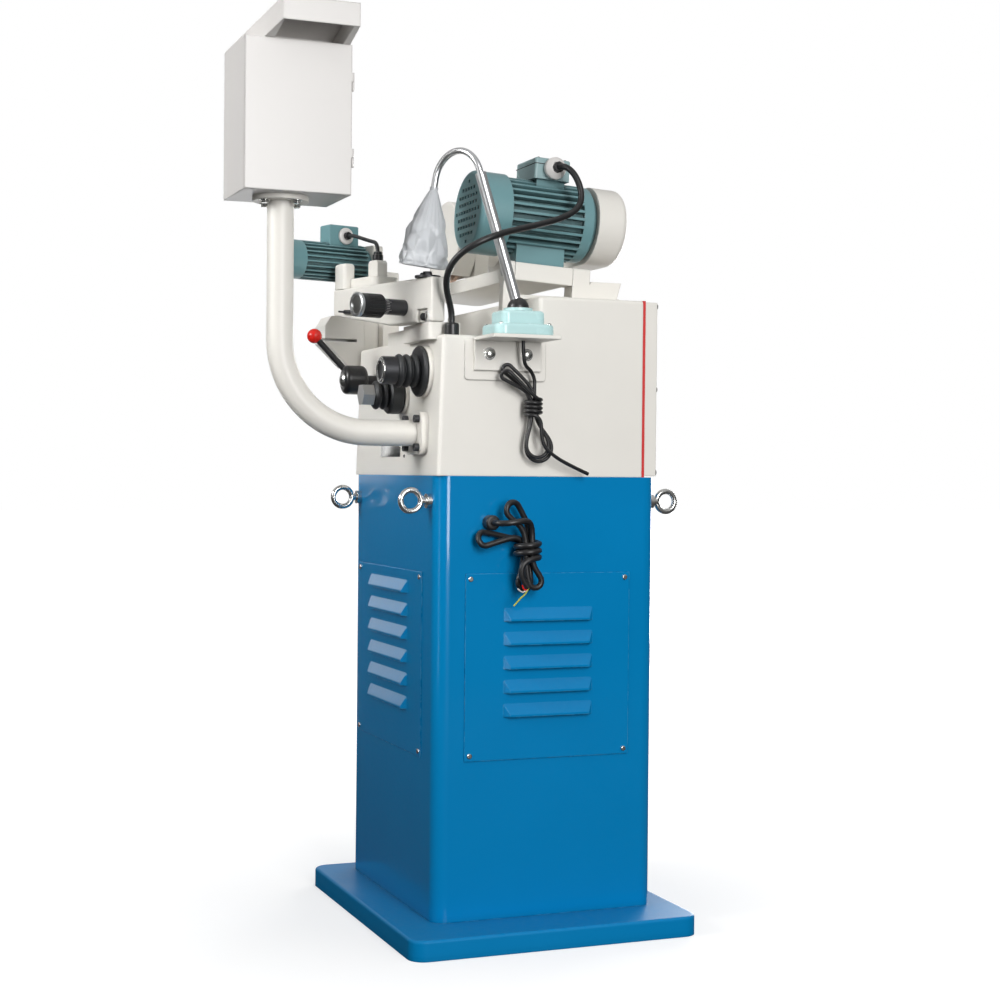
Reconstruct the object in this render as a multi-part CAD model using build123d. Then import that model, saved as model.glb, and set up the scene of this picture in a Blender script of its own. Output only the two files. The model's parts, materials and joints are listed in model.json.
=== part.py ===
from build123d import *
from math import atan2, cos, hypot, pi, radians, sin, sqrt, tan
import os

os.makedirs("parts", exist_ok=True)

# Pedestal machine that sharpens saw blades by grinding tooth after tooth.
# Frame: millimetres, +Z up, -Y is the front, +X the right-hand side.
# Origin: centre of the cabinet's footprint, on the floor.
# A rise is measured up from the top of the cabinet, unless its comment names another face.

# Cutting tools run this far past the face that they open
past = 1.0

# Base and cabinet
base_width = 590.0
base_depth = 513.0
base_height = 34.0
base_corner = 28.0
base_edge = 5.0
base_rim = 30.0
base_skin = 6.0
base_rib = 24.0
base_shift_x = 29.0
base_shift_y = -12.5
cabinet_width = 456.0
cabinet_depth = 402.0
cabinet_height = 740.0
cabinet_corner = 24.0
cabinet_sheet = 3.0
cabinet_lid = 5.0

# Louvred access panels and their screws
panel_height = 312.0
panel_low = 266.0
panel_sheet = 2.0
panel_overlap = 22.0
side_panel_width = 300.0
front_panel_width = 350.0
front_panel_shift = -15.0
louver_pitch = 40.0
louver_rise = 22.0
louver_reach = 9.0
louver_lip = 4.0
louver_foot = 72.0
side_louvers = 5
side_louver_length = 162.0
front_louvers = 6
front_louver_length = 205.0
screw_inset = 9.0
screw_head_radius = 4.5
screw_head_height = 2.6
screw_radius = 2.4
screw_length = 12.0
screw_gap = 0.15

# Lifting eyes
eye_ring_radius = 17.5
eye_wire_radius = 5.0
eye_collar_radius = 12.0
eye_collar = 8.0
eye_stem_radius = 6.5
eye_shank_radius = 5.0
eye_shank = 16.0
eye_reach = 34.0
eye_from_side = 32.0
eye_below_top = 42.0

# Cast upper body and its rear cover
body_front_rise = 233.0
body_rear_rise = 303.0
body_step_y = -21.0
body_wall = 14.0
body_edge = 6.0
front_draft = 8.0
seat_proud = 2.0
gasket_thickness = 5.0
cover_thickness = 24.0
cover_wall = 9.0
cover_drop = 2.0
cover_edge = 2.0
side_pad_y = (-155.0, -10.0)
side_pad_height = 74.0
side_pad_proud = 3.0
arm_pad_x = (62.0, 198.0)
arm_pad_y = (-207.0, -150.0)
arm_pad_rise = 22.0
stop_pad_x = (-60.0, 34.0)
stop_pad_depth = 50.0
stop_pad_rise = 20.0
clamp_block_inner = -232.0
clamp_block_outer = -300.0
clamp_block_front = -261.0
clamp_block_rear = -116.0
clamp_block_low_rise = 202.0
clamp_block_top_rise = 296.0
clamp_block_slope = 46.0
clamp_slit_rise = 251.0
clamp_slit = 5.0
clamp_slit_length = 62.0
clamp_recess = 30.0
clamp_recess_y = (-184.0, -147.0)

# Socket screws, all of one size
bolt_radius = 4.0
bolt_head_radius = 6.5
bolt_head_height = 8.0
cover_bolt_head = 1.6
cover_bolt_head_radius = 5.0
cover_bolt_inset = 8.5
bolt_socket_radius = 3.0
bolt_bite = 10.0
bolt_gap = 0.2
cover_bolt_columns = 3

# Post and control box
post_x = 133.0
post_rise = 71.0
post_radius = 22.0
post_wall = 3.0
post_bend = 150.0
post_reach = 240.0
post_flange_width = 88.0
post_flange_height = 72.0
post_flange = 8.0
post_flange_corner = 20.0
post_bolt_x = 57.0
post_bolt_z = 48.0
post_top_radius = 46.0
post_top_flange = 8.0
box_width = 146.0
box_right = 68.0
box_depth = 177.0
box_height = 243.0
box_rise = 454.0
box_sheet = 2.0
box_behind_post = 100.0
door_thickness = 4.0
door_gap = 0.4
hinge_radius = 2.0
hinge_pin_radius = 1.0
hinge_length = 15.0
hinge_out = 2.0
hinge_inset = 45.0
hood_reach = 62.0
hood_rise = 52.0
hood_lip = 37.0
hood_sheet = 2.0
hood_inset = (46.0, 6.0)
hood_cheek = (2.0, 10.0)
button_radius = 11.0
button_out = 12.0
button_in = 10.0
button_gap = 0.08
button_spacing = 60.0
button_drop = 70.0
button_chamfer = 1.5

# Lamp
bracket_y = (-140.0, -21.0)
bracket_plate = 6.0
bracket_reach = 85.0
bracket_leg = 49.0
bracket_bolt_inset = 26.0
lamp_foot_width = 82.0
lamp_foot_length = 104.0
lamp_foot_height = 18.0
lamp_step_width = 60.0
lamp_step_length = 76.0
lamp_step_height = 22.0
lamp_hub_radius = 24.0
lamp_hub_height = 5.0
dome_radius = 18.0
dome_stem_radius = 7.0
dome_stem = 22.0
lamp_tube_radius = 9.0
lamp_tube_length = 226.0
lamp_tube_start = 14.0
lamp_lean_front = 0.255
lamp_lean_left = 0.108
arch_radius = 5.5
arch_rise = 40.0
# From the crown of the arch to its far corner, and from there to its end
arch_over = (-73.0, -33.0, 4.0)
arch_drop = (-1.6, -11.0, -70.5)
arch_bend = 45.0
shade_length = 80.0
shade_top_radius = 8.0
shade_mouth_radius = 27.0
shade_wall = 1.5
wrap_gap = 2.0
wrap_wall = 1.5
wrap_below = 39.0
wrap_hem_radius = 39.0

# Grinding head, drawn level and then tilted nose up about the hinge block
tilt_degrees = -3.3
tilt_y = 85.0
motor_x = 100.0
# Height of the shafts above the head plate
axis_height = 91.0
motor_front = -111.0
fan_cover_length = 50.0
fan_cover_radius = 71.0
fan_cover_wall = 2.0
grille_radius = 53.0
grille_pitch = 13.0
grille_slot = 9.0
grille_slot_height = 6.0
core_radius = 56.0
stator_radius = 45.0
fin_radius = 67.0
fin_count = 30
fin_thickness = 4.4
fin_root = 2.0
frame_length = 143.0
bell_length = 28.0
bell_radius = 66.0
motor_end_wall = 8.0
rotor_gap = 1.0
shaft_radius = 9.5
running_gap = 0.05
fan_radius = 60.0
fan_blades = 7
fan_disc = 4.0
fan_blade_thickness = 3.0
fan_front_gap = 12.0
fan_rear_gap = 14.0
motor_foot_width = 76.0
motor_foot_length = 90.0
motor_foot_sink = 8.0
terminal_width = 88.0
terminal_length = 66.0
terminal_height = 37.0
terminal_shift = 15.0
terminal_sink = 2.0
terminal_wall = 3.0
terminal_edge = 4.0
terminal_pad_inset = 7.0
gland_radius = 18.0
gland_length = 20.0
spindle_x = -300.0
spindle_housing_radius = 32.0
spindle_radius = 12.0
spindle_housing_y = (30.0, 98.0)
saddle_width = 48.0
saddle_inset = 4.0
wheel_y = 10.0
wheel_radius = 75.0
wheel_thickness = 8.0
wheel_guard_radius = 84.0
wheel_guard_width = 40.0
wheel_guard_wall = 3.0
wheel_guard_mouth = 64.0
spindle_nose = 11.0
wheel_flange_radius = 26.0
wheel_flange = 5.0
guard_depth = 56.0
guard_radius = 68.0
guard_wall = 3.0
motor_pulley_radius = 40.0
spindle_pulley_radius = 28.0
pulley_width = 16.0
belt_width = 12.0
belt_thickness = 4.0
belt_gap = 0.3
belt_side_gap = 0.5
guard_hole_gap = 3.0
plate_y = (-40.0, 66.0)
plate_thickness = 24.0
# Height of the head plate above the rear of the body
plate_rise = 27.0
plate_end_x = -284.0
pivot_x = 158.0
knuckle_half_width = 17.0
knuckle_y = (-45.0, 62.0)
knuckle_height = 30.0
pivot_pin_radius = 10.0
ear_thickness = 16.0
ear_gap = 0.5
ear_width = 34.0
ear_clear = 3.0
column_y = (98.0, 155.0)
column_top = 34.0
column_slope = (20.0, 10.0)
beam_height = 7.0

# Swivel arm with micrometer, feed motor and feed finger
arm_pivot_x = 169.5
arm_pivot_y = -200.0
arm_turn = 195.0
arm_length = 311.0
arm_tail = 33.0
arm_thickness = 28.0
arm_height = 74.0
arm_gap = 0.4
arm_edge = 4.0
arm_taper_x = 95.0
arm_taper = 28.0
arm_notch_from_end = 12.0
arm_notch_past_clamp = 6.0
arm_notch_depth = 7.0
arm_notch_height = 22.0
clamp_radius = 5.0
clamp_washer_radius = 21.5
clamp_washer = 3.5
clamp_nut_radius = 8.0
clamp_nut = 7.0
clamp_bar_radius = 2.5
clamp_bar = 17.0
clamp_knob_radius = 3.4
sleeve_x = 50.0
sleeve_z = 27.0
sleeve_radius = 13.5
sleeve_length = 46.0
sleeve_bore = 6.0
sleeve_stub = 10.0
sleeve_floor = 2.0
knob_radius = 20.0
knob_length = 46.0
knob_ribs = 24
knob_grip = 32.0
knob_groove = 1.6
knob_groove_depth = 0.9
knob_chamfer = 2.0
feed_plate = 18.0
feed_plate_x = (165.0, 362.0)
feed_plate_y = (-53.0, 0.0)
feed_plate_cut = (76.0, 54.0)
feed_motor_x = 326.0
feed_motor_y = (-79.5, 93.5)
feed_motor_rise = 56.0
feed_motor_radius = 35.0
feed_core_radius = 28.0
feed_fin_count = 24
feed_fin_thickness = 2.6
feed_fan_length = 34.0
feed_box = (34.0, 60.0, 32.0)
feed_box_shift = -17.0
gearbox_height = 44.0
gearbox_y = -135.0
gearbox_mount = 20.0
finger_pivot_z = 28.0
feed_lug_x = (176.0, 206.0)
feed_lug_y = (-34.0, -14.0)
feed_lug_height = 48.0
feed_lug_chamfer = 5.0
feed_post_height = 46.0
feed_post_back = 36.0
feed_post_y = (-10.0, 13.0)
feed_flange = 8.0
feed_cover_edge = 6.0
feed_box_edge = 3.0
finger_length = 52.0
finger_thickness = 8.0
finger_pin_radius = 6.0
finger_root = 6.0
finger_back = 8.0
finger_drop = 16.0
finger_tip = (3.0, 10.0)

# Blade carriage on the left-hand side
guide_y = (-48.0, 80.0)
guide_rise = (26.0, 226.0)
guide_thickness = 18.0
rib_depth = 10.0
rib_width = 32.0
slide_gap = 0.3
carriage_width = 88.0
carriage_height = 90.0
carriage_depth = 46.0
carriage_web = 3.0
carriage_rise = 126.0
arbor_y = 16.0
arbor_radius = 14.0
arbor_flange_radius = 40.0
arbor_flange = 7.0
arbor_pilot_radius = 16.0
arbor_pilot = 14.0
arbor_tip_radius = 10.0
arbor_tip = 22.0

# Lever, knobs and boots on the front
lever_x = -97.0
lever_rise = 170.0
lever_shaft_radius = 9.0
lever_hub_radius = 26.0
lever_hub_out = (21.0, 63.0)
lever_rod_radius = 5.5
lever_ball_radius = 13.5
# From the middle of the hub to the ball
lever_throw = (-33.0, -65.0, 79.0)
lever_rod_bite = 5.4
upper_knob_x = 150.0
upper_knob_rise = 175.0
lower_knob_x = 40.0
lower_knob_rise = 138.0
push_rod_radius = 10.0
push_rod_in = 40.0
boot_flange_radius = 43.0
boot_flange = 8.0
boot_fold_radius = 28.0
boot_neck_radius = 22.0
boot_folds = 3
boot_fold_pitch = 13.0
fold_valley = 0.5
fold_crest = (0.3, 0.7)
upper_knob_radius = 23.5
upper_knob_length = 24.0
upper_knob_edge = 3.0
drum_radius = 32.0
drum_length = 25.0
lower_fold_radius = 25.0
lower_neck_radius = 17.6
lower_folds = 2
lower_nut_radius = 19.5
lower_nut_length = 21.0

# Cam shaft inside the body
cam_x = -20.0
cam_rise = 126.0
cam_shaft_radius = 14.0
cam_radius = 48.0
cam_throw = 14.0
cam_width = 26.0
cam_y = (-70.0, 60.0)

# Cords
power_cord_radius = 5.0
lamp_cord_radius = 3.1
motor_cable_radius = 5.5
cable_straight = 15.5
feed_cable_radius = 3.4
open_bend = 400.0
arc_share = 0.45
gap_skip = 6
hank_bend = 1.2
gland_body_radius = 12.5
gland_body_length = 20.0
gland_edge = 4.0
power_gland_y = -108.0
power_gland_drop = 77.0
cable_gland_x = 212.0
cable_gland_y = -172.0

# Places that follow from the sizes above
cab_x = cabinet_width / 2
cab_y = cabinet_depth / 2
cab_top = base_height + cabinet_height
front_top = cab_top + body_front_rise
rear_top = cab_top + body_rear_rise
seat_y = -cab_y - seat_proud
cover_front = cab_y - cover_thickness
body_rear = cover_front - gasket_thickness
fan_cover_end = motor_front + fan_cover_length
frame_end = fan_cover_end + frame_length
motor_end = frame_end + bell_length
plate_low = rear_top + plate_rise
plate_top = plate_low + plate_thickness
pivot_z = plate_low + plate_thickness / 2
axis_z = plate_top + axis_height
arm_low = front_top + arm_pad_rise + arm_gap
arm_top = arm_low + arm_height
post_z = cab_top + post_rise
box_low = cab_top + box_rise
clamp_block_low = cab_top + clamp_block_low_rise
clamp_block_top = cab_top + clamp_block_top_rise
clamp_slit_z = cab_top + clamp_slit_rise
guide_z = (cab_top + guide_rise[0], cab_top + guide_rise[1])
carriage_z = cab_top + carriage_rise
lever_z = cab_top + lever_rise
lever_hub_y = [seat_y - out for out in lever_hub_out]
upper_knob_z = cab_top + upper_knob_rise
lower_knob_z = cab_top + lower_knob_rise
cam_z = cab_top + cam_rise
power_gland_z = cab_top - power_gland_drop
tilt = Pos(0, tilt_y, plate_low) * Rot(tilt_degrees, 0, 0) * Pos(0, -tilt_y, -plate_low)
arm_place = Pos(arm_pivot_x, arm_pivot_y, 0) * Rot(0, 0, arm_turn)


def save(name, shape):
    export_step(shape, "parts/" + name + ".step")


def block(x0, x1, y0, y1, z0, z1):
    size = Box(abs(x1 - x0), abs(y1 - y0), abs(z1 - z0))
    return Pos((x0 + x1) / 2, (y0 + y1) / 2, (z0 + z1) / 2) * size


def round_bar(axis, radius, start, end, a, b):
    # Cylinder along X at (y, z), along Y at (x, z) or along Z at (x, y).
    bar = Cylinder(radius, abs(end - start))
    middle = (start + end) / 2
    if axis == "X":
        return Pos(middle, a, b) * Rot(0, 90, 0) * bar
    if axis == "Y":
        return Pos(a, middle, b) * Rot(90, 0, 0) * bar
    return Pos(a, b, middle) * bar


def prism_x(points, x0, x1):
    # Outline in Y and Z, drawn out along X.
    line = Polyline(*[(x0, y, z) for y, z in points], close=True)
    return extrude(make_face(line), amount=x1 - x0, dir=(1, 0, 0))


def prism_y(points, y0, y1):
    # Outline in X and Z, drawn out along Y.
    line = Polyline(*[(x, y0, z) for x, z in points], close=True)
    return extrude(make_face(line), amount=y1 - y0, dir=(0, 1, 0))


def turned(profile, place):
    # Profile of (radius, height) points spun round Z, then put in place.
    line = Polyline(*[(r, 0, z) for r, z in profile], close=True)
    return place * revolve(make_face(line), Axis.Z)


def toward_front(x, y, z):
    # Local Z of a turned piece points to the front.
    return Pos(x, y, z) * Rot(90, 0, 0)


# Base plate: a casting that stands on its rim and on two cross ribs
def make_base_plate():
    middle = Pos(base_shift_x, base_shift_y, base_height / 2)
    plate = middle * Box(base_width, base_depth, base_height)
    plate = fillet(plate.edges().filter_by(Axis.Z), base_corner)
    plate = fillet(plate.faces().sort_by(Axis.Z)[-1].edges(), base_edge)
    depth = base_height - base_skin
    pocket = Box(base_width - 2 * base_rim, base_depth - 2 * base_rim, depth)
    plate -= Pos(base_shift_x, base_shift_y, depth / 2) * pocket
    plate += Pos(0, base_shift_y, depth / 2) * Box(base_rib, base_depth - base_rim, depth)
    return plate + Pos(base_shift_x, 0, depth / 2) * Box(base_width - base_rim, base_rib, depth)


def panel_screw_places(width, shift):
    # Across and up places of a panel's four corner screws.
    across = width / 2 - screw_inset
    low = base_height + panel_low + screw_inset
    high = base_height + panel_low + panel_height - screw_inset
    return [(shift + side * across, z) for side in (-1, 1) for z in (low, high)]


def to_front(shape):
    return Pos(0, -cab_y, 0) * shape


def to_side(shape):
    return Pos(cab_x, 0, 0) * Rot(0, 0, 90) * shape


def make_louver_panel(width, shift, count, length):
    # Drawn facing the front with its back at Y = 0, then put in place.
    low = base_height + panel_low
    panel = block(shift - width / 2, shift + width / 2, -panel_sheet, 0, low, low + panel_height)
    for i in range(count):
        foot = low + louver_foot + i * louver_pitch
        panel = add_louver(panel, shift, length, foot)
    for x, z in panel_screw_places(width, shift):
        panel -= round_bar("Y", screw_radius + screw_gap, -panel_sheet - past, past, x, z)
    return panel


def make_front_panel():
    panel = make_louver_panel(front_panel_width, front_panel_shift, front_louvers, front_louver_length)
    return to_front(panel)


def make_side_panel():
    return to_side(make_louver_panel(side_panel_width, 0, side_louvers, side_louver_length))


def add_louver(panel, middle, length, foot):
    # A pressed hood with slanted ends, open at its lower edge and to the inside.
    face = -panel_sheet
    tip = face - louver_reach
    left = middle - length / 2
    right = middle + length / 2
    outline = [(face, foot + louver_rise), (tip, foot + louver_lip), (tip, foot), (face, foot)]
    hood = prism_x(outline, left, right)
    edges = hood.edges().filter_by(lambda e: e.center().Y < face - past and e.center().Z > foot + past)
    hood = fillet(edges, louver_lip * 0.8)
    corners = [(left, face), (left + louver_reach, tip), (right - louver_reach, tip), (right, face)]
    plan = Polygon(*corners, align=None)
    hood &= Pos(0, 0, foot) * extrude(plan, louver_rise, dir=(0, 0, 1))
    inner_tip = tip + panel_sheet
    inner_top = foot + louver_rise - 2 * panel_sheet
    hollow = [(past, inner_top), (face, inner_top), (inner_tip, foot + louver_lip - panel_sheet / 2)]
    hollow += [(inner_tip, foot - past), (face - 0.01, foot - past), (face - 0.01, foot), (past, foot)]
    inset = louver_reach + panel_sheet
    inside = prism_x(hollow, left + inset, right - inset)
    return panel + hood - inside


def make_panel_screws():
    screws = []
    head_at = panel_sheet
    for x, z in panel_screw_places(front_panel_width, front_panel_shift):
        screws.append(to_front(make_screw(x, head_at, z)))
    for x, z in panel_screw_places(side_panel_width, 0):
        screws.append(to_side(make_screw(x, head_at, z)))
    return Compound(children=screws)


def make_screw(x, head_at, z):
    head = round_bar("Y", screw_head_radius, -head_at - screw_head_height, -head_at, x, z)
    head = fillet(head.edges().sort_by(Axis.Y)[0], screw_head_height * 0.6)
    shank = round_bar("Y", screw_radius, -head_at, screw_length - head_at, x, z)
    return head + shank


# Cabinet: a welded sheet-metal box, closed on top, with two access openings
def make_cabinet_shell():
    middle = base_height + cabinet_height / 2
    shell = Pos(0, 0, middle) * Box(cabinet_width, cabinet_depth, cabinet_height)
    shell = fillet(shell.edges().filter_by(Axis.Z), cabinet_corner)
    hollow_height = cabinet_height - cabinet_lid
    hollow = Box(cabinet_width - 2 * cabinet_sheet, cabinet_depth - 2 * cabinet_sheet, hollow_height)
    hollow = fillet(hollow.edges().filter_by(Axis.Z), cabinet_corner - cabinet_sheet)
    shell -= Pos(0, 0, base_height + hollow_height / 2) * hollow
    low = base_height + panel_low + panel_overlap
    high = base_height + panel_low + panel_height - panel_overlap
    side_half = side_panel_width / 2 - panel_overlap
    front_half = front_panel_width / 2 - panel_overlap
    shell -= block(cab_x - 2 * cabinet_sheet, cab_x + past, -side_half, side_half, low, high)
    front_left = front_panel_shift - front_half
    front_right = front_panel_shift + front_half
    shell -= block(front_left, front_right, -cab_y - past, -cab_y + 2 * cabinet_sheet, low, high)
    hole = screw_radius + screw_gap
    for x, z in panel_screw_places(front_panel_width, front_panel_shift):
        shell -= to_front(round_bar("Y", hole, -past, cabinet_sheet + past, x, z))
    for x, z in panel_screw_places(side_panel_width, 0):
        shell -= to_side(round_bar("Y", hole, -past, cabinet_sheet + past, x, z))
    for x, z in eye_places():
        for side in (-1, 1):
            wall = (side * (cab_y - 2 * cabinet_sheet), side * (cab_y + past))
            shell -= round_bar("Y", eye_shank_radius + screw_gap, wall[0], wall[1], x, z)
    gland = (cab_x - 2 * cabinet_sheet, cab_x + past)
    shell -= round_bar("X", power_cord_radius + screw_gap, gland[0], gland[1], power_gland_y, power_gland_z)
    return shell


def eye_places():
    across = cab_x - eye_from_side
    return [(side * across, cab_top - eye_below_top) for side in (-1, 1)]


# Lifting eyes: ring, stem, collar and shank in one forging
def make_lifting_eye():
    # Drawn round Z with the collar's seat at Z = 0 and the ring above it.
    ring = Pos(0, 0, eye_reach) * Rot(0, 90, 0) * Torus(eye_ring_radius, eye_wire_radius)
    collar = Pos(0, 0, eye_collar / 2) * Cylinder(eye_collar_radius, eye_collar)
    stem_top = eye_reach - eye_ring_radius
    stem = Pos(0, 0, stem_top / 2) * Cylinder(eye_stem_radius, stem_top)
    shank = Pos(0, 0, -eye_shank / 2) * Cylinder(eye_shank_radius, eye_shank)
    return ring + collar + stem + shank


def make_lifting_eyes():
    eye = make_lifting_eye()
    eyes = []
    for x, z in eye_places():
        eyes.append(Pos(x, -cab_y, z) * Rot(90, 0, 0) * eye)
        eyes.append(Pos(x, cab_y, z) * Rot(-90, 0, 0) * eye)
    return Compound(children=eyes)


# Upper body: a casting, low in front and high behind, open to the rear
def make_upper_body():
    front_at_top = -cab_y + front_draft
    outline = [(-cab_y, cab_top), (front_at_top, front_top), (body_step_y, front_top)]
    outline += [(body_step_y, rear_top), (body_rear, rear_top), (body_rear, cab_top)]
    body = prism_x(outline, -cab_x, cab_x)
    soft = body.edges().filter_by(lambda e: e.center().Z > cab_top + past and e.center().Y < body_rear - past)
    body = fillet(soft, body_edge)
    wall = body_wall
    inside = [(-cab_y + wall, cab_top + wall), (front_at_top + wall, front_top - wall)]
    inside += [(body_step_y + wall, front_top - wall), (body_step_y + wall, rear_top - wall)]
    inside += [(body_rear + past, rear_top - wall), (body_rear + past, cab_top + wall)]
    body -= prism_x(inside, -cab_x + wall, cab_x - wall)
    body = add_front_seats(body)
    pad_top = front_top - body_edge
    pad_low = front_top - side_pad_height
    pad = block(cab_x - wall / 2, cab_x + side_pad_proud, side_pad_y[0], side_pad_y[1], pad_low, pad_top)
    body += fillet(pad.edges().filter_by(Axis.X), body_edge)
    seat = block(*arm_pad_x, *arm_pad_y, front_top - wall / 2, front_top + arm_pad_rise)
    body += fillet(seat.edges().filter_by(Axis.Z), body_edge)
    stop_front = -cab_y + front_draft
    stop_y = (stop_front, stop_front + stop_pad_depth)
    body += block(*stop_pad_x, *stop_y, front_top - wall / 2, front_top + stop_pad_rise)
    return drill_body(add_blade_guide(add_split_clamp(body)))


def add_front_seats(body):
    # Flat seats that stand proud of the sloping front wall.
    root = -cab_y + front_draft + body_wall / 2
    body += round_bar("Y", boot_flange_radius, seat_y, root, upper_knob_x, upper_knob_z)
    body += round_bar("Y", drum_radius, seat_y, root, lower_knob_x, lower_knob_z)
    body += round_bar("Y", lever_hub_radius, seat_y, root, lever_x, lever_z)
    half_x = post_flange_width / 2
    half_z = post_flange_height / 2
    seat = block(post_x - half_x, post_x + half_x, seat_y, root, post_z - half_z, post_z + half_z)
    return body + fillet(seat.edges().filter_by(Axis.Y), post_flange_corner)


def add_split_clamp(body):
    # Knee on the left with a slit, which grips the bar of the blade centring device.
    front = clamp_block_front
    low_front = front + clamp_block_slope
    outline = [(front, clamp_slit_z - clamp_slit), (low_front, clamp_block_low)]
    outline += [(clamp_block_rear, clamp_block_low), (clamp_block_rear, clamp_block_top)]
    outline += [(front + 2 * body_edge, clamp_block_top)]
    outline += [(front, clamp_block_top - 3 * body_edge)]
    knee = prism_x(outline, clamp_block_outer, clamp_block_inner)
    slit = block(clamp_block_outer - past, clamp_block_inner + past, front - past, front + clamp_slit_length,
                 clamp_slit_z - clamp_slit / 2, clamp_slit_z + clamp_slit / 2)
    knee -= slit + block(clamp_block_inner - clamp_recess, clamp_block_inner + past, *clamp_recess_y,
                         front_top - body_edge, clamp_block_top + past)
    root_y = -cab_y + front_draft + 2 * body_edge
    root_x = (clamp_block_inner - past, -cab_x + body_wall / 2)
    root = block(*root_x, root_y, clamp_block_rear, clamp_block_low, front_top - body_edge)
    return body + knee + root


def add_blade_guide(body):
    # Upright way for the blade carriage, with a guiding rib.
    back = -cab_x + body_wall / 2
    face = -cab_x - guide_thickness
    body += block(face, back, *guide_y, *guide_z)
    return body + block(face - rib_depth, back, arbor_y - rib_width / 2, arbor_y + rib_width / 2, *guide_z)


def drill_body(body):
    deep = -cab_y + front_draft + 2 * body_wall
    out = seat_y - past
    slip = push_rod_radius + running_gap
    body -= round_bar("Y", slip, out, deep, upper_knob_x, upper_knob_z)
    body -= round_bar("Y", slip, out, deep, lower_knob_x, lower_knob_z)
    body -= round_bar("Y", lever_shaft_radius + running_gap, out, deep, lever_x, lever_z)
    body -= round_bar("Y", cam_shaft_radius + running_gap, -cab_y + body_wall / 2, deep, cam_x, cam_z)
    clamp_low = front_top - body_wall / 2
    clamp_high = front_top + arm_pad_rise + past
    body -= round_bar("Z", clamp_radius + running_gap, clamp_low, clamp_high, arm_pivot_x, arm_pivot_y)
    hole = bolt_radius + bolt_gap
    for x, z in cover_bolt_places():
        body -= round_bar("Y", hole, body_rear - bolt_bite - past, body_rear + past, x, z)
    for x, z in post_bolt_places():
        body -= round_bar("Y", hole, out, seat_y + bolt_bite + past, x, z)
    for y, z in bracket_bolt_places():
        pad = cab_x + side_pad_proud
        body -= round_bar("X", hole, pad - bolt_bite - past, pad + past, y, z)
    cable_hole = motor_cable_radius + screw_gap
    hole_z = (front_top - 2 * body_wall, front_top + past)
    return body - round_bar("Z", cable_hole, *hole_z, cable_gland_x, cable_gland_y)


# Rear cover, its red gasket and the socket screws
def make_gasket():
    ring = block(-cab_x, cab_x, body_rear, cover_front, cab_top, rear_top)
    inner_x = cab_x - body_wall
    hole_y = (body_rear - past, cover_front + past)
    ring -= block(-inner_x, inner_x, *hole_y, cab_top + body_wall, rear_top - body_wall)
    for x, z in cover_bolt_places():
        ring -= round_bar("Y", bolt_radius + bolt_gap, body_rear - past, cover_front + past, x, z)
    return ring


def make_rear_cover():
    half = cab_x - cover_drop
    low = cab_top + cover_drop
    high = rear_top - cover_drop
    cover = block(-half, half, cover_front, cab_y, low, high)
    cover = fillet(cover.faces().sort_by(Axis.Y)[-1].edges(), cover_edge)
    inner_x = cab_x - body_wall - cover_wall
    inner_low = cab_top + body_wall + cover_wall
    inner_high = rear_top - body_wall - cover_wall
    cover -= block(-inner_x, inner_x, cover_front - past, cab_y - cover_wall, inner_low, inner_high)
    boss_radius = cam_shaft_radius * 2
    cover += round_bar("Y", boss_radius, cover_front, cab_y - cover_wall / 2, cam_x, cam_z)
    bore = cam_shaft_radius + running_gap
    cover -= round_bar("Y", bore, cover_front - past, cab_y - cover_wall, cam_x, cam_z)
    for x, z in cover_bolt_places():
        cover -= round_bar("Y", bolt_radius + bolt_gap, cover_front - past, cab_y + past, x, z)
    return cover


def cover_bolt_places():
    across = cab_x - cover_bolt_inset
    low = cab_top + cover_bolt_inset
    high = rear_top - cover_bolt_inset
    step = 2 * across / (cover_bolt_columns - 1)
    places = [(-across + i * step, z) for i in range(cover_bolt_columns) for z in (low, high)]
    return places + [(side * across, (low + high) / 2) for side in (-1, 1)]


def post_bolt_places():
    return [(post_x + i * post_bolt_x / 2, post_z + k * post_bolt_z / 2) for i in (-1, 1) for k in (-1, 1)]


def bracket_bolt_places():
    z = front_top - bracket_plate - bracket_leg / 2
    return [(bracket_y[0] + bracket_bolt_inset, z), (bracket_y[1] - bracket_bolt_inset, z)]


def make_bolt(grip, height, head_radius):
    # Drawn round Z: head above the seat at Z = 0, shank below it.
    head = Pos(0, 0, height / 2) * Cylinder(head_radius, height)
    socket = RegularPolygon(bolt_socket_radius, 6)
    head -= Pos(0, 0, height / 2) * extrude(socket, height / 2 + past)
    length = grip + bolt_bite
    return head + Pos(0, 0, -length / 2) * Cylinder(bolt_radius, length)


def make_socket_screws():
    bolts = []
    cover_bolt = make_bolt(cover_thickness + gasket_thickness, cover_bolt_head, cover_bolt_head_radius)
    for x, z in cover_bolt_places():
        bolts.append(Pos(x, cab_y, z) * Rot(-90, 0, 0) * cover_bolt)
    flange_bolt = make_bolt(post_flange, bolt_head_height, bolt_head_radius)
    for x, z in post_bolt_places():
        bolts.append(Pos(x, seat_y - post_flange, z) * Rot(90, 0, 0) * flange_bolt)
    bracket_bolt = make_bolt(bracket_plate, bolt_head_height, bolt_head_radius)
    for y, z in bracket_bolt_places():
        bolts.append(Pos(cab_x + side_pad_proud + bracket_plate, y, z) * Rot(0, 90, 0) * bracket_bolt)
    return Compound(children=bolts)


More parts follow.
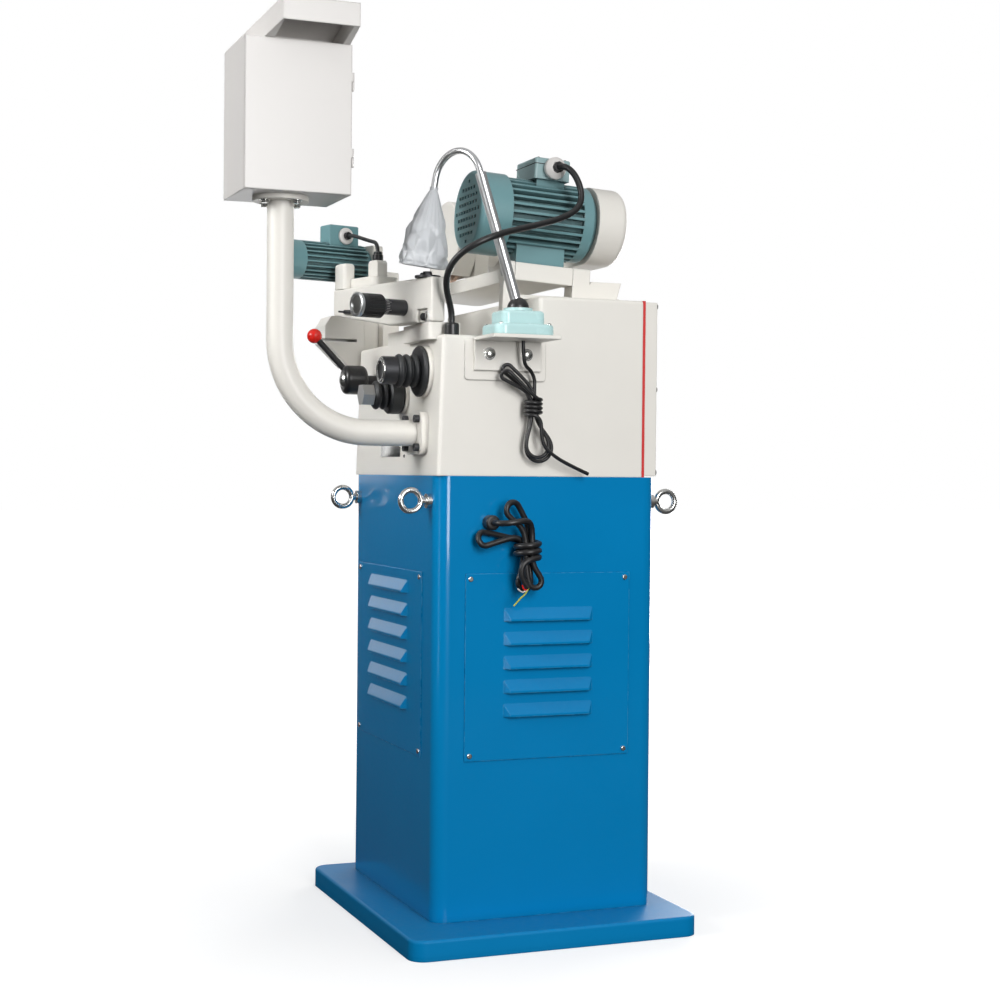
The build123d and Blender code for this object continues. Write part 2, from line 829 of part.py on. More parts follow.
# Bent post that carries the control box
def make_post_pipe():
    root_y = seat_y - post_flange
    post_y = seat_y - post_reach
    top = box_low - post_top_flange
    points = [(post_x, root_y, post_z), (post_x, post_y, post_z), (post_x, post_y, top)]
    path = FilletPolyline(*points, radius=post_bend)
    start = Plane(origin=points[0], z_dir=(0, -1, 0))
    pipe = sweep(start * Circle(post_radius), path=path)
    half_x = post_flange_width / 2
    half_z = post_flange_height / 2
    flange = block(post_x - half_x, post_x + half_x, root_y, seat_y, post_z - half_z, post_z + half_z)
    flange = fillet(flange.edges().filter_by(Axis.Y), post_flange_corner)
    pipe += flange
    pipe += round_bar("Z", post_top_radius, top, box_low, post_x, post_y)
    for x, z in post_bolt_places():
        pipe -= round_bar("Y", bolt_radius + bolt_gap, root_y - past, seat_y + past, x, z)
    return pipe - sweep(start * Circle(post_radius - post_wall), path=path)


def box_limits():
    post_y = seat_y - post_reach
    right = post_x + box_right
    rear = post_y + box_behind_post
    return right - box_width, right, rear - box_depth, rear


def hinge_axis():
    left, right, front, rear = box_limits()
    return right - door_thickness / 2, rear + hinge_out


def hinge_heights():
    top = box_low + box_height
    return [box_low + hinge_inset, top - hinge_inset - 2 * hinge_length]


# Control box: sheet-metal case with a sloping hood over its door
def make_control_box():
    left, right, front, rear = box_limits()
    top = box_low + box_height
    face = right - door_thickness - door_gap
    case = block(left, face, front, rear, box_low, top)
    inside_y = (front + box_sheet, rear - box_sheet)
    case -= block(left + box_sheet, right, *inside_y, box_low + box_sheet, top - box_sheet)
    case += make_hood(left, right, front, rear, top)
    hinge_x, hinge_y = hinge_axis()
    for z in hinge_heights():
        knuckle = round_bar("Z", hinge_radius, z, z + hinge_length, hinge_x, hinge_y)
        knuckle += block(face - 4 * box_sheet, face, rear - box_sheet, hinge_y, z, z + hinge_length)
        knuckle += block(face - box_sheet, hinge_x, rear, hinge_y, z, z + hinge_length)
        knuckle += round_bar("Z", hinge_pin_radius, z, z + 2 * hinge_length, hinge_x, hinge_y)
        case += knuckle
    for y in button_places():
        hole = button_radius + button_gap
        case -= round_bar("X", hole, left - past, left + box_sheet + past, y, top - button_drop)
    return case


def make_hood(left, right, front, rear, top):
    tip = right + hood_reach
    high = top + hood_rise
    outline = [(left, top), (tip, high), (tip, high - hood_lip), (right, top)]
    lip_y = (front + hood_inset[0], rear - hood_inset[1])
    hood = prism_y(outline, front, rear)
    for edge, lip in zip((front - past, rear + past), lip_y):
        corner = Polygon((left, edge), (tip + past, edge), (tip + past, lip), align=None)
        hood -= Pos(0, 0, top - past) * extrude(corner, hood_rise + 2 * past, dir=(0, 0, 1))
    slope = hood_rise / (tip - left)
    inner_tip = tip - hood_sheet
    inner_left = right - hood_reach
    inner = [(inner_left, top - past), (inner_left, top + (inner_left - left) * slope - 2 * hood_sheet)]
    inner += [(inner_tip, high - 2 * hood_sheet), (inner_tip, high - hood_lip - hood_reach)]
    inner += [(right, top - past)]
    floor = block(left, right - door_thickness - door_gap, front, rear, top - box_sheet, top)
    cavity = prism_y(inner, lip_y[0] + hood_cheek[0], lip_y[1] - hood_cheek[1])
    return hood - cavity + floor


def button_places():
    left, right, front, rear = box_limits()
    middle = (front + rear) / 2
    return [middle - button_spacing / 2, middle + button_spacing / 2]


def make_control_door():
    left, right, front, rear = box_limits()
    top = box_low + box_height
    low = box_low + door_gap
    door = block(right - door_thickness, right, front + door_gap, rear - door_gap, low, top - door_gap)
    hinge_x, hinge_y = hinge_axis()
    for z in hinge_heights():
        z0 = z + hinge_length + door_gap
        z1 = z + 2 * hinge_length
        leaf = block(hinge_x, right, rear - 2 * hinge_out, hinge_y, z0, z1)
        leaf += round_bar("Z", hinge_radius, z0, z1, hinge_x, hinge_y)
        door += leaf
        door -= round_bar("Z", hinge_pin_radius + running_gap, z0 - past, z1 + past, hinge_x, hinge_y)
    return door


def make_button(y):
    left = box_limits()[0]
    z = box_low + box_height - button_drop
    button = round_bar("X", button_radius, left - button_out, left + button_in, y, z)
    return chamfer(button.edges().sort_by(Axis.X)[0], button_chamfer)


# Lamp on its bracket
def lamp_spot():
    x = cab_x + side_pad_proud + bracket_plate + lamp_foot_width / 2
    return x, (bracket_y[0] + bracket_y[1]) / 2, front_top - bracket_plate / 2


def make_lamp_bracket():
    inner = cab_x + side_pad_proud
    plate_top_z = lamp_spot()[2]
    plate_low_z = plate_top_z - bracket_plate
    outer = inner + bracket_plate + bracket_reach
    bracket = block(inner, outer, *bracket_y, plate_low_z, plate_top_z)
    bracket += block(inner, inner + bracket_plate, *bracket_y, plate_low_z - bracket_leg, plate_low_z)
    for y, z in bracket_bolt_places():
        bracket -= round_bar("X", bolt_radius + bolt_gap, inner - past, inner + bracket_plate + past, y, z)
    x, y, top = lamp_spot()
    hole = lamp_cord_radius + screw_gap
    return bracket - round_bar("Z", hole, plate_low_z - past, top + past, lamp_cord_exit_x, lamp_cord_exit_y)


def make_lamp_base():
    x, y, low = lamp_spot()
    foot = Pos(x, y, low + lamp_foot_height / 2) * Box(lamp_foot_width, lamp_foot_length, lamp_foot_height)
    foot = fillet(foot.edges().filter_by(Axis.Z), 3 * body_edge)
    foot = fillet(foot.faces().sort_by(Axis.Z)[-1].edges(), body_edge)
    step_low = low + lamp_foot_height
    step = Pos(x, y, step_low + lamp_step_height / 2)
    step = step * Box(lamp_step_width, lamp_step_length, lamp_step_height)
    step = fillet(step.edges().filter_by(Axis.Z), 2 * body_edge)
    step = fillet(step.faces().sort_by(Axis.Z)[-1].edges(), body_edge)
    hub_low = step_low + lamp_step_height
    hub = round_bar("Z", lamp_hub_radius, hub_low, hub_low + lamp_hub_height, x, y)
    base = foot + step + hub
    bore = dome_stem_radius + running_gap
    top = hub_low + lamp_hub_height
    return base - round_bar("Z", bore, top - dome_stem - past, top + past, x, y)


def dome_centre():
    x, y, low = lamp_spot()
    return Vector(x, y, low + lamp_foot_height + lamp_step_height + lamp_hub_height + door_gap)


def lamp_direction():
    up = sqrt(1 - lamp_lean_front ** 2 - lamp_lean_left ** 2)
    return Vector(-lamp_lean_left, -lamp_lean_front, up)


def make_lamp_dome():
    centre = dome_centre()
    ball = Pos(*centre) * Sphere(dome_radius)
    half = block(centre.X - dome_radius, centre.X + dome_radius, centre.Y - dome_radius,
                 centre.Y + dome_radius, centre.Z - dome_radius, centre.Z)
    dome = ball - half
    dome += round_bar("Z", dome_stem_radius, centre.Z - dome_stem, centre.Z, centre.X, centre.Y)
    start = centre + lamp_direction() * (dome_radius - lamp_tube_start)
    socket = Plane(origin=start, z_dir=lamp_direction()) * extrude(Circle(lamp_tube_radius), 2 * dome_radius)
    return dome - socket


def lamp_tube_ends():
    start = dome_centre() + lamp_direction() * (dome_radius - lamp_tube_start)
    return start, start + lamp_direction() * lamp_tube_length


def make_lamp_tube():
    start, end = lamp_tube_ends()
    return Plane(origin=start, z_dir=lamp_direction()) * extrude(Circle(lamp_tube_radius), lamp_tube_length)


def arch_points():
    end = lamp_tube_ends()[1]
    crown = end + lamp_direction() * arch_rise
    over = crown + Vector(*arch_over)
    return end, crown, over, over + Vector(*arch_drop)


def shade_place():
    # Top of the shade, which hangs in line with the end of the arch.
    over, tip = arch_points()[-2:]
    return Plane(origin=tip, z_dir=over - tip).location


def make_lamp_arch():
    points = arch_points()
    path = FilletPolyline(*points, radius=arch_bend)
    section = Plane(origin=points[0], z_dir=lamp_direction()) * Circle(arch_radius)
    return sweep(section, path=path)


def make_lamp_shade():
    profile = [(0, 0), (shade_top_radius, 0), (shade_mouth_radius, -shade_length)]
    profile += [(shade_mouth_radius - shade_wall, -shade_length)]
    profile += [(shade_top_radius - shade_wall, -2 * shade_wall), (0, -2 * shade_wall)]
    return turned(profile, shade_place())


def make_lamp_wrap():
    # Loose film drawn round the shade and closed under it.
    neck = arch_radius + wrap_gap
    shoulder = shade_top_radius + wrap_gap + wrap_wall
    mouth = shade_mouth_radius + wrap_gap + wrap_wall
    bottom = -shade_length - wrap_below
    outer = [(neck, 3 * wrap_wall), (shoulder, wrap_gap + wrap_wall), (mouth, -shade_length)]
    outer += [(wrap_hem_radius, bottom)]
    inner = [(0, bottom), (0, bottom + wrap_wall), (wrap_hem_radius - wrap_wall, bottom + wrap_wall)]
    inner += [(mouth - wrap_wall, -shade_length), (shoulder - wrap_wall, wrap_gap), (neck, wrap_gap)]
    return turned(outer + inner, shade_place())


# Pedestal, pivot pin and head plate
def pivot_ears():
    front = (knuckle_y[0] - ear_gap - ear_thickness, knuckle_y[0] - ear_gap)
    rear = (knuckle_y[1] + ear_gap, knuckle_y[1] + ear_gap + 2 * ear_thickness)
    return front, rear


def make_head_pedestal():
    front, rear = pivot_ears()
    half = ear_width / 2
    high = pivot_z + knuckle_half_width
    bore = round_bar("Y", pivot_pin_radius + running_gap, front[0] - past, rear[1] + past, pivot_x, pivot_z)
    foot_low = rear_top
    beam_top = foot_low + beam_height
    rear_block = block(pivot_x - half, pivot_x + half, rear[0], rear[1], foot_low - body_edge, high)
    leg = block(pivot_x - half / 2, pivot_x + half / 2, front[0], front[1], front_top - body_edge, high)
    leg += block(pivot_x - half, pivot_x + half, front[0], front[1], pivot_z - knuckle_half_width, high)
    ears = rear_block + leg
    ears = tilt * (fillet(ears.edges().filter_by(Axis.Y).group_by(Axis.Z)[-1], body_edge) - bore)
    beam = block(pivot_x - half / 2, pivot_x + half / 2, front[0], column_y[1], foot_low, beam_top)
    column = prism_x([(column_y[0] - column_slope[0], foot_low), (column_y[1] - column_slope[1], foot_low),
                      (column_y[1], foot_low + column_top), (column_y[0], foot_low + column_top)],
                     pivot_x - 2 * half, pivot_x + half)
    under = block(-cab_x, cab_x, body_step_y, body_rear, cab_top, rear_top)
    under += block(-cab_x, cab_x, -cab_y, body_rear, cab_top, front_top)
    pedestal = ears + beam + column - under
    return pedestal - tilt * bore


def make_pivot_pin():
    front, rear = pivot_ears()
    return tilt * round_bar("Y", pivot_pin_radius, front[0], rear[1], pivot_x, pivot_z)


def make_head_plate():
    ear_side = pivot_x - ear_width / 2 - ear_clear
    plate = block(plate_end_x, ear_side, *plate_y, plate_low, plate_top)
    plate = fillet(plate.edges().filter_by(Axis.Z).group_by(Axis.X)[0], 3 * body_edge)
    neck_x = (ear_side - past, pivot_x - knuckle_half_width / 2)
    plate += block(*neck_x, plate_y[0], knuckle_y[1], plate_low, plate_top)
    knuckle_z = (pivot_z - knuckle_height / 2, pivot_z + knuckle_height / 2)
    plate += block(pivot_x - knuckle_half_width, pivot_x + knuckle_half_width, *knuckle_y, *knuckle_z)
    bore = pivot_pin_radius + running_gap
    plate -= round_bar("Y", bore, knuckle_y[0] - past, knuckle_y[1] + past, pivot_x, pivot_z)
    return tilt * plate


# Grinding motor
def make_motor_housing():
    frame = round_bar("Y", core_radius, fan_cover_end, frame_end, motor_x, axis_z)
    for i in range(fin_count):
        angle = 360 / fin_count * (i + 0.5)
        half = fin_thickness / 2
        fin = block(-half, half, fan_cover_end, frame_end, core_radius - fin_root, fin_radius)
        frame += Pos(motor_x, 0, axis_z) * Rot(0, angle, 0) * fin
    frame += round_bar("Y", fan_cover_radius - fan_cover_wall, fan_cover_end, fan_cover_end + motor_end_wall,
                       motor_x, axis_z)
    bell = round_bar("Y", bell_radius, frame_end, motor_end, motor_x, axis_z)
    frame += chamfer(bell.edges().sort_by(Axis.Y)[-1], bell_length / 3)
    foot_middle = (fan_cover_end + motor_end_wall + frame_end) / 2
    foot_y = (foot_middle - motor_foot_length / 2, foot_middle + motor_foot_length / 2)
    foot_x = (motor_x - motor_foot_width / 2, motor_x + motor_foot_width / 2)
    frame += block(*foot_x, *foot_y, plate_top, axis_z - core_radius + motor_foot_sink)
    box_x, box_y, box_z = terminal_place()
    pad_x = terminal_width / 2 - terminal_pad_inset
    pad_y = terminal_length / 2 - terminal_pad_inset
    pad_low = axis_z + core_radius - motor_foot_sink
    frame += block(box_x - pad_x, box_x + pad_x, box_y - pad_y, box_y + pad_y, pad_low, box_z)
    case = Box(terminal_width, terminal_length, terminal_height)
    frame -= Pos(box_x, box_y, box_z + terminal_height / 2) * case
    frame -= round_bar("Y", stator_radius, fan_cover_end + motor_end_wall, motor_end - motor_end_wall,
                       motor_x, axis_z)
    bore = shaft_radius + running_gap
    frame -= round_bar("Y", bore, fan_cover_end - past, motor_end + past, motor_x, axis_z)
    return tilt * frame


def terminal_place():
    middle = fan_cover_end + frame_length / 2 + terminal_shift
    return motor_x, middle, axis_z + fin_radius - terminal_sink


def make_fan_cover():
    end = fan_cover_end + motor_end_wall
    cover = round_bar("Y", fan_cover_radius, motor_front, end, motor_x, axis_z)
    cover = fillet(cover.edges().sort_by(Axis.Y)[0], 4 * fan_cover_wall)
    inner = fan_cover_radius - fan_cover_wall
    hollow = round_bar("Y", inner, motor_front + fan_cover_wall, end + past, motor_x, axis_z)
    cover -= fillet(hollow.edges().sort_by(Axis.Y)[0], 3 * fan_cover_wall)
    rows = int(grille_radius // grille_pitch)
    slots = []
    for i in range(-rows, rows + 1):
        for k in range(-rows, rows + 1):
            x = i * grille_pitch
            z = k * grille_pitch
            if hypot(x, z) > grille_radius:
                continue
            slot = Box(grille_slot, 4 * fan_cover_wall, grille_slot_height)
            slots.append(Pos(motor_x + x, motor_front, axis_z + z) * slot)
    return tilt * (cover - slots)


def make_terminal_box():
    x, y, low = terminal_place()
    case = Pos(x, y, low + terminal_height / 2) * Box(terminal_width, terminal_length, terminal_height)
    soft = case.edges().filter_by(Axis.Z) + case.faces().sort_by(Axis.Z)[-1].edges()
    case = fillet(soft, terminal_edge)
    wall = terminal_wall
    hollow = Box(terminal_width - 2 * wall, terminal_length - 2 * wall, terminal_height - 2 * wall)
    case -= Pos(x, y, low + terminal_height / 2) * hollow
    face = x + terminal_width / 2
    gland = round_bar("X", gland_radius, face, face + gland_length, y, low + terminal_height / 2)
    case += chamfer(gland.edges().sort_by(Axis.X)[-1], gland_length / 3)
    return tilt * case


def make_motor_rotor():
    back = motor_front + 4 * fan_cover_wall
    rotor = round_bar("Y", shaft_radius, back, motor_end + guard_depth - 3 * guard_wall, motor_x, axis_z)
    core_y = (fan_cover_end + 2 * motor_end_wall, frame_end - motor_end_wall)
    rotor += round_bar("Y", stator_radius - rotor_gap, *core_y, motor_x, axis_z)
    fan_y = (back + fan_front_gap, fan_cover_end - fan_rear_gap)
    rotor += round_bar("Y", fan_radius, fan_y[1] - fan_disc, fan_y[1], motor_x, axis_z)
    half = fan_blade_thickness / 2
    for i in range(fan_blades):
        blade = block(-half, half, *fan_y, shaft_radius - past, fan_radius)
        rotor += Pos(motor_x, 0, axis_z) * Rot(0, 360 / fan_blades * i, 0) * blade
    return tilt * rotor


# Belt drive from the motor to the spindle
def pulley_middle():
    return motor_end + guard_depth / 2


def make_pulley(x, radius, bore):
    y = pulley_middle()
    half = belt_width / 2 + belt_side_gap
    pulley = round_bar("Y", radius, y - half, y + half, x, axis_z)
    rim = radius + belt_thickness / 2
    for side in (-1, 1):
        inner = y + side * half
        pulley += round_bar("Y", rim, inner, inner + side * (pulley_width - belt_width) / 2, x, axis_z)
    pulley -= round_bar("Y", bore, y - pulley_width, y + pulley_width, x, axis_z)
    return tilt * pulley


def belt_outline(extra):
    big = Pos(motor_x, axis_z) * Circle(motor_pulley_radius + extra)
    small = Pos(spindle_x, axis_z) * Circle(spindle_pulley_radius + extra)
    return make_hull(big.edges() + small.edges())


def lay_on_wall(face, y0, y1):
    # A face drawn in X and Z, stood up and drawn out along Y.
    stood = Plane(origin=(0, y0, 0), x_dir=(1, 0, 0), z_dir=(0, -1, 0)) * face
    return extrude(stood, amount=y1 - y0, dir=(0, 1, 0))


def make_drive_belt():
    y = pulley_middle()
    outer = lay_on_wall(belt_outline(belt_gap + belt_thickness), y - belt_width / 2, y + belt_width / 2)
    inner = lay_on_wall(belt_outline(belt_gap), y - belt_width, y + belt_width)
    return tilt * (outer - inner)


def guard_outline(radius):
    big = Pos(motor_x, axis_z) * Circle(radius)
    small = Pos(spindle_x, axis_z) * Circle(radius)
    return make_hull(big.edges() + small.edges())


def make_belt_guard():
    front = motor_end
    rear = motor_end + guard_depth
    guard = lay_on_wall(guard_outline(guard_radius), front, rear)
    guard = fillet(guard.faces().sort_by(Axis.Y)[-1].edges(), 2 * body_edge)
    hollow = lay_on_wall(guard_outline(guard_radius - guard_wall), front + guard_wall, rear - guard_wall)
    guard -= fillet(hollow.faces().sort_by(Axis.Y)[-1].edges(), 2 * body_edge - guard_wall)
    for x, radius in ((motor_x, shaft_radius), (spindle_x, spindle_radius)):
        guard -= round_bar("Y", radius + guard_hole_gap, front - past, front + guard_wall + past, x, axis_z)
    return tilt * guard


# Spindle, wheel and wheel guard
def make_spindle_housing():
    housing = round_bar("Y", spindle_housing_radius, *spindle_housing_y, spindle_x, axis_z)
    saddle_x = (plate_end_x, plate_end_x + saddle_width)
    saddle_y = (spindle_housing_y[0] + saddle_inset, plate_y[1] - saddle_inset)
    housing += block(*saddle_x, *saddle_y, plate_top, axis_z + spindle_housing_radius / 2)
    bore = spindle_radius + running_gap
    front, rear = spindle_housing_y
    housing -= round_bar("Y", bore, front - past, rear + past, spindle_x, axis_z)
    return tilt * housing


def make_spindle_shaft():
    start = wheel_y - wheel_thickness / 2 - spindle_nose
    shaft = round_bar("Y", spindle_radius, start, pulley_middle() + pulley_width / 2, spindle_x, axis_z)
    rear_flange = wheel_y + wheel_thickness / 2
    shaft += round_bar("Y", wheel_flange_radius, rear_flange, rear_flange + wheel_flange, spindle_x, axis_z)
    front_flange = wheel_y - wheel_thickness / 2
    shaft += round_bar("Y", wheel_flange_radius, front_flange - wheel_flange, front_flange, spindle_x, axis_z)
    return tilt * shaft


def make_grinding_wheel():
    y0 = wheel_y - wheel_thickness / 2
    wheel = round_bar("Y", wheel_radius, y0, y0 + wheel_thickness, spindle_x, axis_z)
    wheel = chamfer(wheel.edges().filter_by(GeomType.CIRCLE), wheel_thickness / 4)
    wheel -= round_bar("Y", spindle_radius, y0 - past, y0 + wheel_thickness + past, spindle_x, axis_z)
    return tilt * wheel


def make_wheel_guard():
    y0 = wheel_y - wheel_guard_width / 2
    y1 = wheel_y + wheel_guard_width / 2
    guard = round_bar("Y", wheel_guard_radius, y0, y1, spindle_x, axis_z)
    guard = fillet(guard.edges().filter_by(GeomType.CIRCLE), body_edge / 2)
    inner = wheel_guard_radius - wheel_guard_wall
    guard -= round_bar("Y", inner, y0 + wheel_guard_wall, y1 - wheel_guard_wall, spindle_x, axis_z)
    hole = wheel_flange_radius + guard_hole_gap
    guard -= round_bar("Y", hole, y1 - 2 * wheel_guard_wall, y1 + past, spindle_x, axis_z)
    mouth = wheel_guard_radius + past
    guard -= block(spindle_x - mouth, spindle_x + mouth, y0 - past, y1 + past,
                   axis_z - mouth, axis_z - wheel_guard_mouth)
    return tilt * guard


# Swivel arm, drawn with its length along X from the pivot and the front at +Y
def make_swivel_arm():
    half = arm_thickness / 2
    tip = arm_length - arm_tail
    outline = [(-arm_tail, arm_low), (arm_taper_x, arm_low), (tip, arm_low + arm_taper)]
    arm = prism_y(outline + [(tip, arm_top), (-arm_tail, arm_top)], -half, half)
    arm = fillet(arm.edges(), arm_edge)
    notch_x = (-arm_tail + arm_notch_from_end, clamp_radius + arm_notch_past_clamp)
    notch_z = (arm_low - past, arm_low + arm_notch_height)
    arm -= block(*notch_x, half - arm_notch_depth, half + past, *notch_z)
    arm -= round_bar("Z", clamp_radius + running_gap, arm_low - past, arm_top + past, 0, 0)
    socket = half - sleeve_stub - sleeve_floor
    arm -= round_bar("Y", sleeve_bore, socket, half + past, sleeve_x, arm_low + sleeve_z)
    return arm_place * arm


def make_arm_clamp():
    low = front_top - body_wall / 2 + past
    clamp = round_bar("Z", clamp_radius, low, arm_top + clamp_washer, 0, 0)
    washer_low = arm_top + arm_gap
    clamp += round_bar("Z", clamp_washer_radius, washer_low, washer_low + clamp_washer, 0, 0)
    nut_low = washer_low + clamp_washer
    nut = Pos(0, 0, nut_low) * extrude(RegularPolygon(clamp_nut_radius, 6), clamp_nut)
    clamp += nut
    clamp += round_bar("X", clamp_bar_radius, 0, clamp_bar, 0, nut_low + clamp_nut / 2)
    knob = Pos(clamp_bar, 0, nut_low + clamp_nut / 2) * Sphere(clamp_knob_radius)
    return arm_place * (clamp + knob)


def make_micrometer_sleeve():
    half = arm_thickness / 2
    z = arm_low + sleeve_z
    sleeve = round_bar("Y", sleeve_radius, half, half + sleeve_length, sleeve_x, z)
    sleeve += round_bar("Y", sleeve_bore, half - sleeve_stub, half, sleeve_x, z)
    bore = sleeve_bore + running_gap
    sleeve -= round_bar("Y", bore, half + sleeve_floor, half + sleeve_length + past, sleeve_x, z)
    return arm_place * sleeve


def make_micrometer_knob():
    start = arm_thickness / 2 + sleeve_length + arm_gap
    z = arm_low + sleeve_z
    knob = round_bar("Y", knob_radius, start, start + knob_length, sleeve_x, z)
    knob = chamfer(knob.edges().filter_by(GeomType.CIRCLE), knob_chamfer)
    grooves = []
    for i in range(knob_ribs):
        groove = Box(knob_groove, knob_grip + past, 2 * knob_groove_depth)
        groove = Pos(0, start + (knob_grip - past) / 2, knob_radius) * groove
        grooves.append(Pos(sleeve_x, 0, z) * Rot(0, 360 / knob_ribs * i, 0) * groove)
    knob -= grooves
    knob += round_bar("Y", sleeve_bore, start - sleeve_length / 2, start, sleeve_x, z)
    return arm_place * knob


# Feed drive on the arm: bracket with gearbox, motor, cable and finger
def make_feed_gearbox():
    low = arm_top
    top = low + feed_plate
    casting = block(*feed_plate_x, *feed_plate_y, low, top)
    casting = fillet(casting.edges().filter_by(Axis.Z), 2 * body_edge)
    arm_tip = arm_length - arm_tail
    post = block(arm_tip - feed_post_back, arm_tip, *feed_post_y, low, low + feed_post_height)
    casting += fillet(post.edges().filter_by(Axis.Z) + post.faces().sort_by(Axis.Z)[-1].edges(), body_edge)
    lug = block(*feed_lug_x, *feed_lug_y, top - past, low + feed_lug_height)
    casting += chamfer(lug.edges().filter_by(Axis.Y).group_by(Axis.Z)[-1], feed_lug_chamfer)
    side = feed_motor_radius - past
    box_x = (feed_motor_x - side, feed_motor_x + side)
    casting += block(*box_x, gearbox_y, feed_plate_y[1], low, top)
    # The plate's outer front corner is cut off, so it stays within the arm's end.
    outer, front = feed_plate_x[1] + past, feed_plate_y[1] + past
    corner = Polygon((outer - feed_plate_cut[0], front), (outer, front), (outer, front - feed_plate_cut[1]), align=None)
    casting -= Pos(0, 0, low - past) * extrude(corner, feed_plate + 2 * past, dir=(0, 0, 1))
    gearbox = block(*box_x, gearbox_y, feed_motor_y[0], low, low + gearbox_height)
    casting += fillet(gearbox.edges().filter_by(Axis.Y), body_edge)
    mount_y = (feed_motor_y[0] - gearbox_mount, feed_motor_y[0])
    mount = block(*box_x, *mount_y, low, low + feed_motor_rise + side)
    casting += fillet(mount.edges().filter_by(Axis.Y), body_edge)
    pin_x = (feed_motor_x + side - past, feed_motor_x + side + finger_thickness + past)
    pin_z = low + finger_pivot_z
    casting += round_bar("X", finger_pin_radius, *pin_x, feed_finger_y(), pin_z)
    return arm_place * casting


def feed_finger_y():
    return (gearbox_y + feed_motor_y[0]) / 2


def make_feed_motor():
    z = arm_top + feed_motor_rise
    y0, y1 = feed_motor_y
    motor = round_bar("Y", feed_core_radius, y0, y1 - feed_fan_length + past, feed_motor_x, z)
    for i in range(feed_fin_count):
        half = feed_fin_thickness / 2
        fin_y = (y0 + feed_flange, y1 - feed_fan_length + past)
        fin = block(-half, half, *fin_y, feed_core_radius - past, feed_motor_radius)
        motor += Pos(feed_motor_x, 0, z) * Rot(0, 360 / feed_fin_count * (i + 0.5), 0) * fin
    cover = round_bar("Y", feed_motor_radius, y1 - feed_fan_length, y1, feed_motor_x, z)
    motor += fillet(cover.edges().sort_by(Axis.Y)[-1], feed_cover_edge)
    box_x, box_y, box_z = feed_box
    middle = (y0 + y1 - feed_fan_length) / 2 + feed_box_shift
    box_low_z = z + feed_core_radius
    case_x = (feed_motor_x - box_x / 2, feed_motor_x + box_x / 2)
    case_y = (middle - box_y / 2, middle + box_y / 2)
    case = block(*case_x, *case_y, box_low_z, z + feed_motor_radius + box_z)
    motor += fillet(case.faces().sort_by(Axis.Z)[-1].edges(), feed_box_edge)
    return arm_place * motor


def make_feed_finger():
    x0 = feed_motor_x + feed_motor_radius - past + door_gap
    x1 = x0 + finger_thickness - door_gap
    y = feed_finger_y()
    z = arm_top + finger_pivot_z
    hub = round_bar("X", 2 * finger_pin_radius, x0, x1, y, z)
    end = y - finger_length
    outline = [(y + finger_root, z), (y - finger_root, z + finger_back), (end, z - finger_drop)]
    outline += [(end + finger_tip[0], z - finger_drop - finger_tip[1])]
    reach = prism_x(outline, x0, x1)
    bore = round_bar("X", finger_pin_radius + running_gap, x0 - past, x1 + past, y, z)
    return arm_place * (hub + reach - bore)


# Blade carriage and arbor on the left-hand side
def make_blade_carriage():
    face = -cab_x - guide_thickness - slide_gap
    half = carriage_width / 2
    low = carriage_z - carriage_height / 2
    block_x = (face - carriage_depth, face)
    body = block(*block_x, arbor_y - half, arbor_y + half, low, low + carriage_height)
    body = fillet(body.edges().filter_by(Axis.X), 2 * body_edge)
    groove = rib_width / 2 + slide_gap
    groove_x = (face - rib_depth - slide_gap, face + past)
    body -= block(*groove_x, arbor_y - groove, arbor_y + groove, low - past, low + carriage_height + past)
    bore = arbor_radius + running_gap
    bore_end = face - rib_depth - carriage_web
    return body - round_bar("X", bore, face - carriage_depth - past, bore_end, arbor_y, carriage_z)


def make_blade_arbor():
    face = -cab_x - guide_thickness - slide_gap
    outer = face - carriage_depth
    inner = face - rib_depth - carriage_web - past
    arbor = round_bar("X", arbor_radius, outer - past, inner, arbor_y, carriage_z)
    flange = outer - slide_gap
    arbor += round_bar("X", arbor_flange_radius, flange - arbor_flange, flange, arbor_y, carriage_z)
    pilot = flange - arbor_flange
    arbor += round_bar("X", arbor_pilot_radius, pilot - arbor_pilot, pilot, arbor_y, carriage_z)
    tip = pilot - arbor_pilot
    arbor += round_bar("X", arbor_tip_radius, tip - arbor_tip, tip, arbor_y, carriage_z)
    return arbor


# Lever, push rods and rubber boots on the front
def make_control_lever():
    y0, y1 = lever_hub_y
    hub = round_bar("Y", lever_hub_radius, y0, y1, lever_x, lever_z)
    hub = fillet(hub.edges().filter_by(GeomType.CIRCLE), lever_hub_radius / 3)
    inner = -cab_y + front_draft + body_wall
    hub += round_bar("Y", lever_shaft_radius, y0 - past, inner, lever_x, lever_z)
    return hub + make_lever_rod()


def lever_middle():
    return Vector(lever_x, sum(lever_hub_y) / 2, lever_z)


def make_lever_rod():
    aim = Vector(*lever_throw)
    length = aim.length - lever_ball_radius + lever_rod_bite
    return Plane(origin=lever_middle(), z_dir=aim) * extrude(Circle(lever_rod_radius), length)


def make_lever_ball():
    centre = lever_middle() + Vector(*lever_throw)
    return Pos(*centre) * Sphere(lever_ball_radius) - make_lever_rod()


def upper_boot_length():
    return boot_flange + boot_folds * boot_fold_pitch


def boot_profile(root_radius, root, folds, neck, crest):
    # A solid root on the seat, then folds, each a valley and a flat crest.
    bore = push_rod_radius + screw_gap
    profile = [(bore, 0), (root_radius, 0), (root_radius, root)]
    for i in range(folds):
        z = root + i * boot_fold_pitch
        profile.append((neck, z + fold_valley))
        profile += [(crest, z + boot_fold_pitch * share) for share in fold_crest]
    end = root + folds * boot_fold_pitch
    return profile + [(neck, end), (bore, end)]


def make_upper_boot():
    profile = boot_profile(boot_flange_radius, boot_flange, boot_folds, boot_neck_radius, boot_fold_radius)
    return turned(profile, toward_front(upper_knob_x, seat_y, upper_knob_z))


